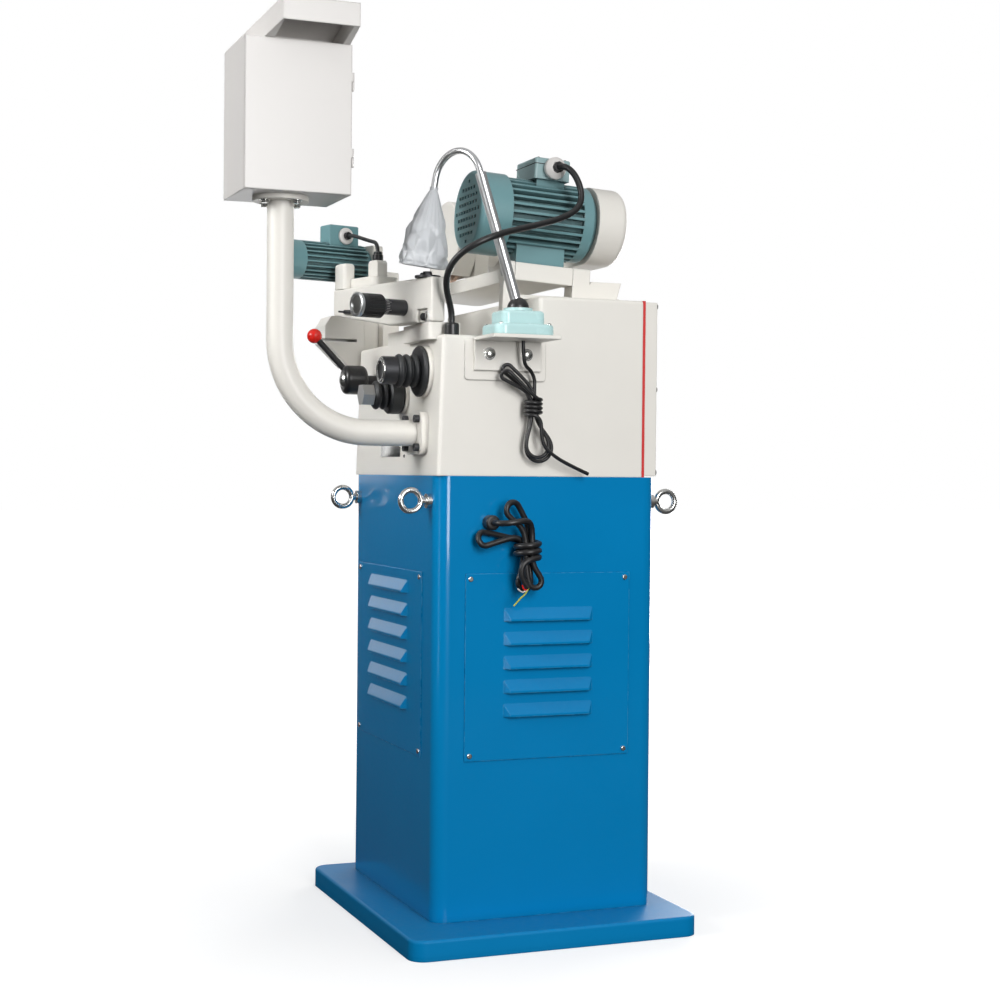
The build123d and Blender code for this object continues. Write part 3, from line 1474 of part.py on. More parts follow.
def lower_boot_length():
    return drum_length + lower_folds * boot_fold_pitch


def make_lower_boot():
    profile = boot_profile(drum_radius, drum_length, lower_folds, lower_neck_radius, lower_fold_radius)
    return turned(profile, toward_front(lower_knob_x, seat_y, lower_knob_z))


def make_upper_rod():
    inner = -cab_y + front_draft + body_wall + push_rod_in
    end = seat_y - upper_boot_length()
    rod = round_bar("Y", push_rod_radius, end, inner, upper_knob_x, upper_knob_z)
    knob = round_bar("Y", upper_knob_radius, end - upper_knob_length, end, upper_knob_x, upper_knob_z)
    return rod + fillet(knob.edges().sort_by(Axis.Y)[0], upper_knob_edge)


def make_lower_rod():
    inner = -cab_y + front_draft + body_wall + push_rod_in
    end = seat_y - lower_boot_length()
    rod = round_bar("Y", push_rod_radius, end, inner, lower_knob_x, lower_knob_z)
    nut = extrude(RegularPolygon(lower_nut_radius, 6), lower_nut_length)
    return rod + toward_front(lower_knob_x, end, lower_knob_z) * nut


# Cam shaft that lifts the head, inside the body
def make_cam_shaft():
    start = -cab_y + body_wall / 2 + past
    end = cab_y - cover_wall - past
    shaft = round_bar("Y", cam_shaft_radius, start, end, cam_x, cam_z)
    half = cam_width / 2
    for y, side in zip(cam_y, (1, -1)):
        shaft += round_bar("Y", cam_radius, y - half, y + half, cam_x + side * cam_throw, cam_z)
    return shaft


# Cords: straight runs joined by tangent arcs
def cord_radii(points, largest):
    radii = []
    for before, here, after in zip(points, points[1:], points[2:]):
        turn = (here - before).get_angle(after - here)
        shorter = min((here - before).length, (after - here).length)
        radii.append(min(largest, arc_share * shorter / tan(radians(turn) / 2)))
    return radii


def cord_tube(name, route, radius, largest):
    points = [Vector(*p) for p in route]
    radii = cord_radii(points, largest)
    path = FilletPolyline(*points, radius=radii)
    start = Plane(origin=points[0], z_dir=points[1] - points[0])
    tube = sweep(start * Circle(radius), path=path)
    share = tube.volume / (pi * radius ** 2 * path.length)
    print(name, "length", round(path.length), "volume share", round(share, 3))
    print(name, "radii", [round(r, 1) for r in radii])
    print(name, "least gap to itself", round(least_gap(path, radius), 2))
    return tube


def least_gap(path, radius):
    # Least clearance between points of the middle line that lie over six radii apart along it.
    count = int(path.length / (radius * 0.5))
    spots = [path.position_at(i / count) for i in range(count + 1)]
    skip = int(gap_skip * radius * count / path.length) + 1
    least = 1e9
    for i, spot in enumerate(spots):
        for other in spots[i + skip:]:
            least = min(least, (spot - other).length)
    return least - 2 * radius


def lobe(root, tip, radius, side):
    # One flank of a loop and half of its round end, in Y and Z.
    dy = tip[0] - root[0]
    dz = tip[1] - root[1]
    length = hypot(dy, dz)
    along = (dy / length, dz / length)
    across = (-along[1] * side, along[0] * side)
    corner = radius * tan(pi / 8)
    spots = ((length - radius + corner, radius), (length, corner))
    return [tuple(root[k] + along[k] * a + across[k] * b for k in (0, 1)) for a, b in spots]


def hank_turn(x, next_x, waist, half, necks, low_tip, low_radius, high_tip, high_radius):
    # Down the right of the waist, round the lower loop, up the left, round the upper loop.
    # The corners at the neck are staggered, so the two strands keep their distance as they turn.
    y, z = waist
    low = (y, z - necks[0])
    high = (y, z + necks[1])
    low_stagger = half * tan(atan2(low_tip[0] - y, low[1] - low_tip[1]) / 2)
    high_stagger = half * tan(atan2(y - high_tip[0], high_tip[1] - high[1]) / 2)
    flat = [(y + half, low[1] + low_stagger)] + lobe(low, low_tip, low_radius, 1)
    flat += lobe(low, low_tip, low_radius, -1)[::-1]
    flat += [(y - half, low[1] - low_stagger), (y - half, high[1] - high_stagger)]
    flat += lobe(high, high_tip, high_radius, 1)
    spots = [(x, a, b) for a, b in flat]
    back = lobe(high, high_tip, high_radius, -1)[::-1] + [(y + half, high[1] + high_stagger)]
    climb = (next_x - x) / len(back)
    return spots + [(x + climb * (i + 1), a, b) for i, (a, b) in enumerate(back)]


def binding(x, waist, radius, turns, pitch, start, sense):
    # Wraps round the waist, eight points to a turn, going down.
    count = int(8 * turns)
    high = waist[1] + pitch * turns / 2
    angles = [start + sense * pi / 4 * i for i in range(count + 1)]
    heights = [high - pitch * i / 8 for i in range(count + 1)]
    return [(x + radius * cos(a), waist[0] + radius * sin(a), z) for a, z in zip(angles, heights)]


def make_hank(name, start, layers, waist, half, necks, loops, wraps, tail, radius):
    # Layers are the X places of the turns, loops their (low tip, radius, high tip, radius).
    route = [start]
    for i, loop in enumerate(loops):
        route += hank_turn(layers[i], layers[i + 1], waist, half, necks, *loop)
    route.pop()
    return cord_tube(name, route + wraps + tail, radius, hank_bend * 2 * radius)


# Lamp cord: down from the bracket into a small bound hank with a bare end
lamp_cord_exit_x = 262.0
lamp_cord_exit_y = -64.0
lamp_cord_route = [(262.0, -64.0, 980.0), (259.0, -60.0, 958.0), (249.0, -44.5, 950.0), (246.0, -36.5, 936.0)]
lamp_layers = (246.0, 253.2, 266.0)
lamp_waist = (-40.0, 889.0)
lamp_half = 3.5
lamp_necks = (20.0, 24.0)
lamp_wrap_radius = 14.0
lamp_wraps = 4
lamp_wrap_pitch = 7.0
lamp_hank_top = 926.0
lamp_loops = [((-22.0, 800.0), 23.0, (-92.0, 956.0), 7.0), ((-30.0, 806.0), 20.0, (-98.0, 944.0), 7.0)]
lamp_tail = [(263.0, -31.0, 866.0), (262.0, -30.0, 845.0), (261.0, -26.0, 826.0), (260.0, -10.0, 811.0),
             (255.0, 18.0, 796.0), (250.0, 61.0, 779.0)]


def make_lamp_cord():
    top = lamp_spot()[2] - bracket_plate
    route = [(lamp_cord_exit_x, lamp_cord_exit_y, top)] + lamp_cord_route
    route.append((lamp_layers[0], lamp_waist[0] + lamp_half, lamp_hank_top))
    return cord_tube("lamp_cord", route, lamp_cord_radius, open_bend)


def make_lamp_cord_hank():
    start = (lamp_layers[0], lamp_waist[0] + lamp_half, lamp_hank_top)
    middle = (lamp_layers[0] + lamp_layers[1]) / 2
    wraps = binding(middle, lamp_waist, lamp_wrap_radius, lamp_wraps, lamp_wrap_pitch, 0, 1)
    return make_hank("lamp_cord_hank", start, lamp_layers, lamp_waist, lamp_half, lamp_necks,
                     lamp_loops, wraps, lamp_tail, lamp_cord_radius)


# Power cord: out of its gland into a bound hank with bare cores
power_layers = (261.0, 249.5, 233.0)
power_waist = (-50.0, 652.0)
power_half = 5.6
power_necks = (24.0, 34.0)
power_wrap_radius = 20.6
power_wraps = 2.5
power_wrap_pitch = 11.2
power_hank_top = 672.0
power_loops = [((-34.0, 590.0), 11.0, (-86.0, 728.0), 13.0), ((-54.0, 586.0), 11.0, (-134.0, 668.0), 11.0)]
power_tail = [(276.0, -66.0, 631.0), (275.0, -70.0, 616.0), (273.5, -65.0, 602.0), (273.0, -56.0, 590.0)]
power_exit = [(259.0, -108.0, 697.0), (268.0, -102.0, 696.5), (274.0, -91.0, 697.0), (276.0, -77.0, 699.0),
              (273.0, -63.0, 701.0), (267.0, -52.0, 699.0), (262.5, -46.0, 690.0), (261.0, -44.4, 678.0)]


def make_power_cord():
    face = cab_x + gland_body_length
    route = [(face, power_gland_y, power_gland_z)] + power_exit
    route.append((power_layers[0], power_waist[0] + power_half, power_hank_top))
    return cord_tube("power_cord", route, power_cord_radius, open_bend)


def make_power_cord_hank():
    start = (power_layers[0], power_waist[0] + power_half, power_hank_top)
    middle = (power_layers[0] + power_layers[1]) / 2
    wraps = binding(middle, power_waist, power_wrap_radius, power_wraps, power_wrap_pitch, pi, -1)
    return make_hank("power_cord_hank", start, power_layers, power_waist, power_half, power_necks,
                     power_loops, wraps, power_tail, power_cord_radius)


def make_cable_glands():
    power = round_bar("X", gland_body_radius, cab_x, cab_x + gland_body_length, power_gland_y, power_gland_z)
    power = fillet(power.edges().sort_by(Axis.X)[-1], gland_edge)
    power += round_bar("X", power_cord_radius, cab_x - 2 * cabinet_sheet, cab_x, power_gland_y, power_gland_z)
    top = front_top + gland_body_length
    cable = round_bar("Z", gland_body_radius, front_top, top, cable_gland_x, cable_gland_y)
    cable = fillet(cable.edges().sort_by(Axis.Z)[-1], gland_edge)
    stub = (front_top - body_wall, front_top)
    cable += round_bar("Z", motor_cable_radius, *stub, cable_gland_x, cable_gland_y)
    return Compound(children=[power, cable])


# Motor cable: from the terminal box, past the lamp, into the body
motor_cable_route = [(192.5, 43.0, 1302.0), (201.0, 51.5, 1291.0), (206.0, 58.5, 1275.0),
                     (209.5, 62.5, 1256.0), (214.0, 58.5, 1237.5), (222.0, 42.5, 1221.5),
                     (233.0, 13.0, 1207.5), (249.0, -26.0, 1194.5), (269.0, -70.0, 1182.0),
                     (290.0, -118.0, 1168.0), (289.5, -152.0, 1154.0), (275.0, -176.0, 1138.5),
                     (260.0, -189.5, 1121.0), (246.0, -194.0, 1100.0), (231.0, -188.5, 1079.0),
                     (219.0, -179.0, 1061.0)]


def make_motor_cable():
    x, y, low = terminal_place()
    level = Pos(x + terminal_width / 2 + gland_length, y, low + terminal_height / 2)
    start = (tilt * level).position
    route = [(start.X, start.Y, start.Z), (start.X + cable_straight, start.Y, start.Z)] + motor_cable_route
    top = front_top + gland_body_length
    route += [(cable_gland_x, cable_gland_y, top + cable_straight), (cable_gland_x, cable_gland_y, top)]
    return cord_tube("motor_cable", route, motor_cable_radius, open_bend)


# Feed cable: from the feed motor's box to the junction on the lug
feed_cable_route = [(297.0, -30.0, 103.5), (281.0, -31.0, 101.5), (262.0, -33.0, 96.0),
                    (243.0, -34.0, 90.5), (224.0, -32.5, 86.0), (207.0, -29.0, 82.5),
                    (195.5, -25.5, 75.0), (191.0, -24.0, 62.0)]
feed_gland_y = -30.0
feed_gland_z = 103.5


def make_feed_cable():
    box_side = feed_motor_x - feed_box[0] / 2
    route = [(box_side, feed_gland_y, arm_top + feed_gland_z)]
    route += [(x, y, arm_top + z) for x, y, z in feed_cable_route]
    end_x, end_y, above = feed_cable_route[-1]
    route.append((end_x, end_y, arm_top + feed_lug_height))
    return arm_place * cord_tube("feed_cable", route, feed_cable_radius, open_bend)


# Assembly list: every sub-part once
pieces = {
    "base_plate": make_base_plate(),
    "cabinet_shell": make_cabinet_shell(),
    "front_louver_panel": make_front_panel(),
    "side_louver_panel": make_side_panel(),
    "panel_screws": make_panel_screws(),
    "lifting_eyes": make_lifting_eyes(),
    "upper_body": make_upper_body(),
    "rear_cover_gasket": make_gasket(),
    "rear_cover": make_rear_cover(),
    "socket_screws": make_socket_screws(),
    "post_pipe": make_post_pipe(),
    "control_box": make_control_box(),
    "control_door": make_control_door(),
    "start_button": make_button(button_places()[0]),
    "stop_button": make_button(button_places()[1]),
    "lamp_bracket": make_lamp_bracket(),
    "lamp_base": make_lamp_base(),
    "lamp_dome": make_lamp_dome(),
    "lamp_tube": make_lamp_tube(),
    "lamp_arch": make_lamp_arch(),
    "lamp_shade": make_lamp_shade(),
    "lamp_wrap": make_lamp_wrap(),
    "head_pedestal": make_head_pedestal(),
    "head_pivot_pin": make_pivot_pin(),
    "head_plate": make_head_plate(),
    "motor_housing": make_motor_housing(),
    "motor_fan_cover": make_fan_cover(),
    "motor_terminal_box": make_terminal_box(),
    "motor_rotor": make_motor_rotor(),
    "motor_pulley": make_pulley(motor_x, motor_pulley_radius, shaft_radius),
    "spindle_pulley": make_pulley(spindle_x, spindle_pulley_radius, spindle_radius),
    "drive_belt": make_drive_belt(),
    "belt_guard": make_belt_guard(),
    "spindle_housing": make_spindle_housing(),
    "spindle_shaft": make_spindle_shaft(),
    "grinding_wheel": make_grinding_wheel(),
    "wheel_guard": make_wheel_guard(),
    "swivel_arm": make_swivel_arm(),
    "arm_clamp": make_arm_clamp(),
    "micrometer_sleeve": make_micrometer_sleeve(),
    "micrometer_knob": make_micrometer_knob(),
    "feed_gearbox": make_feed_gearbox(),
    "feed_motor": make_feed_motor(),
    "feed_finger": make_feed_finger(),
    "blade_carriage": make_blade_carriage(),
    "blade_arbor": make_blade_arbor(),
    "control_lever": make_control_lever(),
    "lever_ball": make_lever_ball(),
    "upper_boot": make_upper_boot(),
    "lower_boot": make_lower_boot(),
    "upper_rod": make_upper_rod(),
    "lower_rod": make_lower_rod(),
    "cam_shaft": make_cam_shaft(),
    "cable_glands": make_cable_glands(),
    "power_cord": make_power_cord(),
    "power_cord_hank": make_power_cord_hank(),
    "lamp_cord": make_lamp_cord(),
    "lamp_cord_hank": make_lamp_cord_hank(),
    "motor_cable": make_motor_cable(),
    "feed_cable": make_feed_cable(),
}

for name, shape in pieces.items():
    save(name, shape)
print("pieces", len(pieces))
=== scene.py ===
# %% [markdown]
# # Dressing a saw blade sharpener
# The machine grinds circular saw blades tooth by tooth. Its rigid parts come from the CAD model, which
# is loaded as a fixed frame. This file adds what CAD leaves plain: paint, rubber, chrome, film, cords
# and small trim. Lengths are in metres, +Z is up, -Y is the front and +X the right-hand side.

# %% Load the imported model
import json
from math import atan2, cos, hypot, pi, radians, sin, tan

import bmesh
import bpy
from mathutils import Matrix, Vector, noise


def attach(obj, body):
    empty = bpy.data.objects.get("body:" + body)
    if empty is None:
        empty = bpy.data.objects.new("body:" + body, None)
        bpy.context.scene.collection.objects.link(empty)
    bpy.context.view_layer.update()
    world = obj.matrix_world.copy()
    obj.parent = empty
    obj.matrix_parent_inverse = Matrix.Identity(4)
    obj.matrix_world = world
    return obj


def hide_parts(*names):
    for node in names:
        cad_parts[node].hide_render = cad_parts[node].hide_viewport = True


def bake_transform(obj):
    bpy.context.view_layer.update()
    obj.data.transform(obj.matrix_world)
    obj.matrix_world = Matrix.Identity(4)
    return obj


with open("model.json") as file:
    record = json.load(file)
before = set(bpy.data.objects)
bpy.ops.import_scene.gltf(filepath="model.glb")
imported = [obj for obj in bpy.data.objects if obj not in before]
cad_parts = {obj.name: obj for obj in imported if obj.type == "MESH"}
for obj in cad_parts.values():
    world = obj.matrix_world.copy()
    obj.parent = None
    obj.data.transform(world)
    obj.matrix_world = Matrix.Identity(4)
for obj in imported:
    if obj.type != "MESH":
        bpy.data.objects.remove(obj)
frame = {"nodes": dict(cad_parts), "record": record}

scene = bpy.context.scene
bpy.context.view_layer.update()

# %% [markdown]
# ## Camera
# The portrait is taken from the front right, a little above the middle of the machine. A camera could
# be aimed with a constraint, but the fitted angles are known, so its axes are written down directly:
# where it looks back to, then its right and its up, turned by a small roll.

# %% Camera
camera_place = Vector((2.9805, -1.1859, 0.7812))
camera_azimuth, camera_rise, camera_roll = (radians(a) for a in (68.279, 0.906, 0.529))
camera_lens = 64.04

back = Vector((sin(camera_azimuth) * cos(camera_rise), -cos(camera_azimuth) * cos(camera_rise),
               sin(camera_rise)))
level = Vector((cos(camera_azimuth), sin(camera_azimuth), 0))
upright = back.cross(level)
right = cos(camera_roll) * level + sin(camera_roll) * upright
up = cos(camera_roll) * upright - sin(camera_roll) * level
camera = bpy.data.objects.new("camera", bpy.data.cameras.new("camera"))
camera.data.lens = camera_lens
camera.matrix_world = Matrix.Translation(camera_place) @ Matrix((right, up, back)).transposed().to_4x4()
scene.collection.objects.link(camera)
scene.camera = camera
print("camera looks along", [round(-c, 3) for c in back])

# %% [markdown]
# ## Cords
# A cable bends under its own weight, so no stretch of it has a corner. A NURBS line of order 3 only
# leans towards its control points, which gives that easy bend. The points are those of the CAD route.

# %% A cord along its route
def cord_line(name, route, radius):
    curve = bpy.data.curves.new(name, "CURVE")
    curve.dimensions = "3D"
    line = curve.splines.new("NURBS")
    line.points.add(len(route) - 1)
    for spot, place in zip(line.points, route):
        spot.co = (*place, 1)
    line.order_u = 3
    line.use_endpoint_u = True
    line.resolution_u = 8
    curve.bevel_depth = radius
    curve.bevel_resolution = 4
    curve.use_fill_caps = True
    cord = bpy.data.objects.new(name, curve)
    scene.collection.objects.link(cord)
    return cord


# %% [markdown]
# ## Hanks
# Both loose cords are folded into a hank: two loops below the waist, two above it, and the rest of the
# cord wound round the waist to hold them. The loops lie in layers, each at its own x. They differ in
# size, so each turn has a low and a high tip (y, z), with the radius of the bend there. At the waist the
# two strands of a turn lie half a gap to either side, and above and below it the loops start at the necks.
# A round tip follows the corners of half an octagon, because the line only leans towards its points.

# %% Turns of a hank
wrap_steps = 8


def loop_flank(root, tip, radius, side):
    dy = tip[0] - root[0]
    dz = tip[1] - root[1]
    length = hypot(dy, dz)
    along = (dy / length, dz / length)
    across = (-along[1] * side, along[0] * side)
    corner = radius * tan(pi / 8)
    spots = ((length - radius - corner, radius), (length - radius + corner, radius), (length, corner))
    return [tuple(root[k] + along[k] * a + across[k] * b for k in (0, 1)) for a, b in spots]


def hank_turn(x, next_x, waist, half, necks, low_tip, low_radius, high_tip, high_radius):
    y, z = waist
    low = (y, z - necks[0])
    high = (y, z + necks[1])
    low_stagger = half * tan(atan2(low_tip[0] - y, low[1] - low_tip[1]) / 2)
    high_stagger = half * tan(atan2(y - high_tip[0], high_tip[1] - high[1]) / 2)
    flat = [(y + half, low[1] + low_stagger)] + loop_flank(low, low_tip, low_radius, 1)
    flat += loop_flank(low, low_tip, low_radius, -1)[::-1]
    flat += [(y - half, low[1] - low_stagger), (y - half, high[1] - high_stagger)]
    flat += loop_flank(high, high_tip, high_radius, 1)
    climb_out = loop_flank(high, high_tip, high_radius, -1)[::-1] + [(y + half, high[1] + high_stagger)]
    step = (next_x - x) / len(climb_out)
    return [(x, *spot) for spot in flat] + [(x + step * (i + 1), *spot) for i, spot in enumerate(climb_out)]


def binding(x, waist, radius, turns, pitch, start, sense):
    top = waist[1] + pitch * turns / 2
    wraps = []
    for i in range(int(wrap_steps * turns) + 1):
        angle = start + sense * 2 * pi / wrap_steps * i
        wraps.append((x + radius * cos(angle), waist[0] + radius * sin(angle), top - pitch * i / wrap_steps))
    return wraps


def hank(layers, waist, half, necks, loops):
    route = []
    for i, loop in enumerate(loops):
        route += hank_turn(layers[i], layers[i + 1], waist, half, necks, *loop)
    return route[:-1]


# %% Power cord
power_diameter = 0.010
power_exit = (0.248, -0.108, 0.697)
power_lead = [
    (0.259, -0.108, 0.697), (0.268, -0.102, 0.6965), (0.274, -0.091, 0.697), (0.276, -0.077, 0.699),
    (0.273, -0.063, 0.701), (0.267, -0.052, 0.699), (0.2625, -0.046, 0.690), (0.261, -0.0444, 0.678),
    (0.261, -0.0444, 0.672)]
power_layers = (0.261, 0.2495, 0.233)
power_waist = (-0.050, 0.652)
power_half = 0.0056
power_necks = (0.024, 0.034)
power_loops = [((-0.034, 0.590), 0.011, (-0.086, 0.728), 0.013),
               ((-0.054, 0.586), 0.011, (-0.134, 0.668), 0.011)]
power_wraps = dict(radius=0.0206, turns=2.5, pitch=0.0112, start=pi, sense=-1)
power_tail = [(0.276, -0.066, 0.631), (0.275, -0.070, 0.616), (0.2735, -0.065, 0.602), (0.273, -0.056, 0.590)]

power_route = [power_exit] + power_lead
power_route += hank(power_layers, power_waist, power_half, power_necks, power_loops)
power_route += binding(sum(power_layers[:2]) / 2, power_waist, **power_wraps) + power_tail
power_cord = cord_line("power_cord_line", power_route, power_diameter / 2)
print("power cord has", len(power_route), "points")

# %% Lamp cord
lamp_cord_diameter = 0.0062
lamp_cord_exit = (0.262, -0.064, 0.998)
lamp_cord_lead = [
    (0.262, -0.064, 0.980), (0.259, -0.060, 0.958), (0.249, -0.0445, 0.950), (0.246, -0.0365, 0.936),
    (0.246, -0.0365, 0.926)]
lamp_layers = (0.246, 0.2532, 0.266)
lamp_waist = (-0.040, 0.889)
lamp_half = 0.0035
lamp_necks = (0.020, 0.024)
lamp_loops = [((-0.022, 0.800), 0.023, (-0.092, 0.956), 0.007),
              ((-0.030, 0.806), 0.020, (-0.098, 0.944), 0.007)]
lamp_wraps = dict(radius=0.014, turns=4, pitch=0.007, start=0, sense=1)
lamp_tail = [(0.263, -0.031, 0.866), (0.262, -0.030, 0.845), (0.261, -0.026, 0.826), (0.260, -0.010, 0.811),
             (0.255, 0.018, 0.796), (0.250, 0.061, 0.779)]

lamp_route = [lamp_cord_exit] + lamp_cord_lead
lamp_route += hank(lamp_layers, lamp_waist, lamp_half, lamp_necks, lamp_loops)
lamp_route += binding(sum(lamp_layers[:2]) / 2, lamp_waist, **lamp_wraps) + lamp_tail
lamp_cord = cord_line("lamp_cord_line", lamp_route, lamp_cord_diameter / 2)
print("lamp cord has", len(lamp_route), "points")

# %% [markdown]
# ## Motor cable
# This cable leaves the terminal box on the swinging head and ends in a gland on the body, so it has to
# bend as the head swings. The line is made a mesh: once without thickness, for the points it follows,
# and once with it, for the tube.

# %% Motor cable
motor_cable_diameter = 0.011
motor_cable_route = [
    (0.164, 0.037, 1.3056), (0.1795, 0.037, 1.3056), (0.1925, 0.043, 1.302), (0.201, 0.0515, 1.291),
    (0.206, 0.0585, 1.275), (0.2095, 0.0625, 1.256), (0.214, 0.0585, 1.2375), (0.222, 0.0425, 1.2215),
    (0.233, 0.013, 1.2075), (0.249, -0.026, 1.1945), (0.269, -0.070, 1.182), (0.290, -0.118, 1.168),
    (0.2895, -0.152, 1.154), (0.275, -0.176, 1.1385), (0.260, -0.1895, 1.121), (0.246, -0.194, 1.100),
    (0.231, -0.1885, 1.079), (0.219, -0.179, 1.061), (0.212, -0.172, 1.0425), (0.212, -0.172, 1.027)]


def line_points(cord):
    thickness = cord.data.bevel_depth
    cord.data.bevel_depth = 0
    bare = bpy.data.meshes.new_from_object(cord)
    cord.data.bevel_depth = thickness
    points = [tuple(vertex.co) for vertex in bare.vertices]
    bpy.data.meshes.remove(bare)
    return points


def tube_mesh(name, line):
    tube = bpy.data.objects.new(name, bpy.data.meshes.new_from_object(line))
    scene.collection.objects.link(tube)
    bpy.data.objects.remove(line)
    return tube


drawn = cord_line("motor_cable_drawn", motor_cable_route, motor_cable_diameter / 2)
motor_cable_path = line_points(drawn)
motor_cable = tube_mesh("motor_cable_tube", drawn)
print("motor cable has", len(motor_cable.data.polygons), "faces")

# %% [markdown]
# ## Feed cable
# The feed motor sits on the swivelling arm, and its short cable stays on the arm from end to end.
# Its points are known in the arm's own frame, which stands on the arm's pivot, turned about Z.

# %% Feed cable
arm_pivot = (0.1695, -0.200, 0)
arm_turn = radians(195)
arm_place = Matrix.Translation(arm_pivot) @ Matrix.Rotation(arm_turn, 4, "Z")
arm_top = 1.1034
feed_diameter = 0.0068
# Along the arm, across it, and the rise above its top
feed_rises = [
    (0.309, -0.030, 0.1035), (0.297, -0.030, 0.1035), (0.281, -0.031, 0.1015), (0.262, -0.033, 0.096),
    (0.243, -0.034, 0.0905), (0.224, -0.0325, 0.086), (0.207, -0.029, 0.0825), (0.1955, -0.0255, 0.075),
    (0.191, -0.024, 0.062), (0.191, -0.024, 0.048)]
feed_route = [arm_place @ Vector((x, y, arm_top + rise)) for x, y, rise in feed_rises]
feed_cable = cord_line("feed_cable_line", feed_route, feed_diameter / 2)
print("feed cable starts at", [round(c, 4) for c in feed_route[0]])

# %% [markdown]
# ## Finishes
# Every material is made of nodes. One small helper places a node and fills its inputs, with a value or
# with a link to another node, so a finish reads like a recipe.

# %% Placing nodes
FLOAT, COLOUR, VECTOR = "NodeSocketFloat", "NodeSocketColor", "NodeSocketVector"


def fill_inputs(tree, node, inputs):
    for key, value in inputs.items():
        if isinstance(value, bpy.types.NodeSocket):
            tree.links.new(value, node.inputs[key])
        else:
            node.inputs[key].default_value = value
    return node


def put(tree, kind, inputs=(), **settings):
    node = tree.nodes.new("ShaderNode" + kind)
    for key, value in settings.items():
        setattr(node, key, value)
    return fill_inputs(tree, node, dict(inputs))


def mix_colours(tree, share, first, second, how="MIX"):
    node = put(tree, "Mix", {0: share, 6: first, 7: second}, data_type="RGBA", blend_type=how)
    return node.outputs[2]


def sums(tree, how, first, second, clamp=False):
    return put(tree, "Math", {0: first, 1: second}, operation=how, use_clamp=clamp).outputs[0]


def spread(tree, value, low, high, start=0.0, end=1.0):
    node = put(tree, "MapRange", {"Value": value, "From Min": start, "From Max": end,
                                  "To Min": low, "To Max": high})
    return node.outputs[0]


def start_group(name, inputs, outputs):
    group = bpy.data.node_groups.new(name, "ShaderNodeTree")
    for label, kind, default in inputs:
        group.interface.new_socket(label, in_out="INPUT", socket_type=kind).default_value = default
    for label, kind in outputs:
        group.interface.new_socket(label, in_out="OUTPUT", socket_type=kind)
    return group, group.nodes.new("NodeGroupInput").outputs, group.nodes.new("NodeGroupOutput").inputs


def srgb(*shades):
    linear = [(s / 255 / 12.92) if s <= 10 else ((s / 255 + 0.055) / 1.055) ** 2.4 for s in shades]
    return (*linear, 1)


# %% [markdown]
# ## Shared effects
# Paint is thinnest on edges, where it wears, and some paints get a painted highlight there; dust settles on
# what faces up, shade is painted into corners, and sprayed paint dries with a fine orange peel. Each
# effect is a node group, built once and placed in many finishes with its own values.

# %% Worn edges and painted edge highlights
edge_gain = 7.0
worn_and_highlit_edges, given, made = start_group(
    "worn_and_highlit_edges", [("Radius", FLOAT, 0.0015), ("Amount", FLOAT, 0.5)], [("Mask", FLOAT), ("Normal", VECTOR)])
rounded = put(worn_and_highlit_edges, "Bevel", {"Radius": given["Radius"]}, samples=6)
surface = put(worn_and_highlit_edges, "NewGeometry").outputs["Normal"]
facing = put(worn_and_highlit_edges, "VectorMath", {0: rounded.outputs[0], 1: surface}, operation="DOT_PRODUCT")
bend = sums(worn_and_highlit_edges, "SUBTRACT", 1.0, facing.outputs["Value"], clamp=True)
chips = put(worn_and_highlit_edges, "TexNoise", {"Vector": put(worn_and_highlit_edges, "TexCoord").outputs["Object"],
                                     "Scale": 55.0, "Detail": 6.0, "Roughness": 0.65})
patchy = spread(worn_and_highlit_edges, chips.outputs[0], 0.0, 1.0, start=0.42, end=0.62)
# The edge mask lays the edge colour on: worn paint where that colour is grey, and a painted highlight where
# it is a paler shade of the paint.
bare = sums(worn_and_highlit_edges, "MULTIPLY", sums(worn_and_highlit_edges, "MULTIPLY", bend, edge_gain), patchy)
worn_and_highlit_edges.links.new(sums(worn_and_highlit_edges, "MULTIPLY", bare, given["Amount"], clamp=True), made["Mask"])
worn_and_highlit_edges.links.new(rounded.outputs[0], made["Normal"])
print("group", worn_and_highlit_edges.name)

# %% Settled dust and uneven tone
dust_colour = (0.42, 0.40, 0.37, 1)
settled_dust, given, made = start_group(
    "settled_dust", [("Colour", COLOUR, (0.5, 0.5, 0.5, 1)), ("Dust", FLOAT, 0.2), ("Drift", FLOAT, 0.08)],
    [("Colour", COLOUR), ("Haze", FLOAT)])
place = put(settled_dust, "TexCoord").outputs["Object"]
slow = put(settled_dust, "TexNoise", {"Vector": place, "Scale": 4.5, "Detail": 5.0, "Roughness": 0.6})
fine = put(settled_dust, "TexNoise", {"Vector": place, "Scale": 90.0, "Detail": 5.0, "Roughness": 0.7})
swing = sums(settled_dust, "MULTIPLY", sums(settled_dust, "SUBTRACT", slow.outputs[0], 0.5), given["Drift"])
shade = put(settled_dust, "HueSaturation", {"Value": sums(settled_dust, "ADD", swing, 1.0),
                                            "Color": given["Colour"]})
lie = put(settled_dust, "SeparateXYZ", {0: put(settled_dust, "NewGeometry").outputs["Normal"]})
flat_top = spread(settled_dust, lie.outputs["Z"], 0.0, 1.0, start=0.25, end=0.95)
specks = spread(settled_dust, fine.outputs[0], 0.0, 1.0, start=0.35, end=0.75)
lying = sums(settled_dust, "MULTIPLY", flat_top, specks)
dust_share = sums(settled_dust, "MULTIPLY", lying, given["Dust"], clamp=True)
dusty = mix_colours(settled_dust, dust_share, shade.outputs[0], dust_colour)
settled_dust.links.new(dusty, made["Colour"])
settled_dust.links.new(sums(settled_dust, "ADD", slow.outputs[0], dust_share), made["Haze"])
print("group", settled_dust.name)
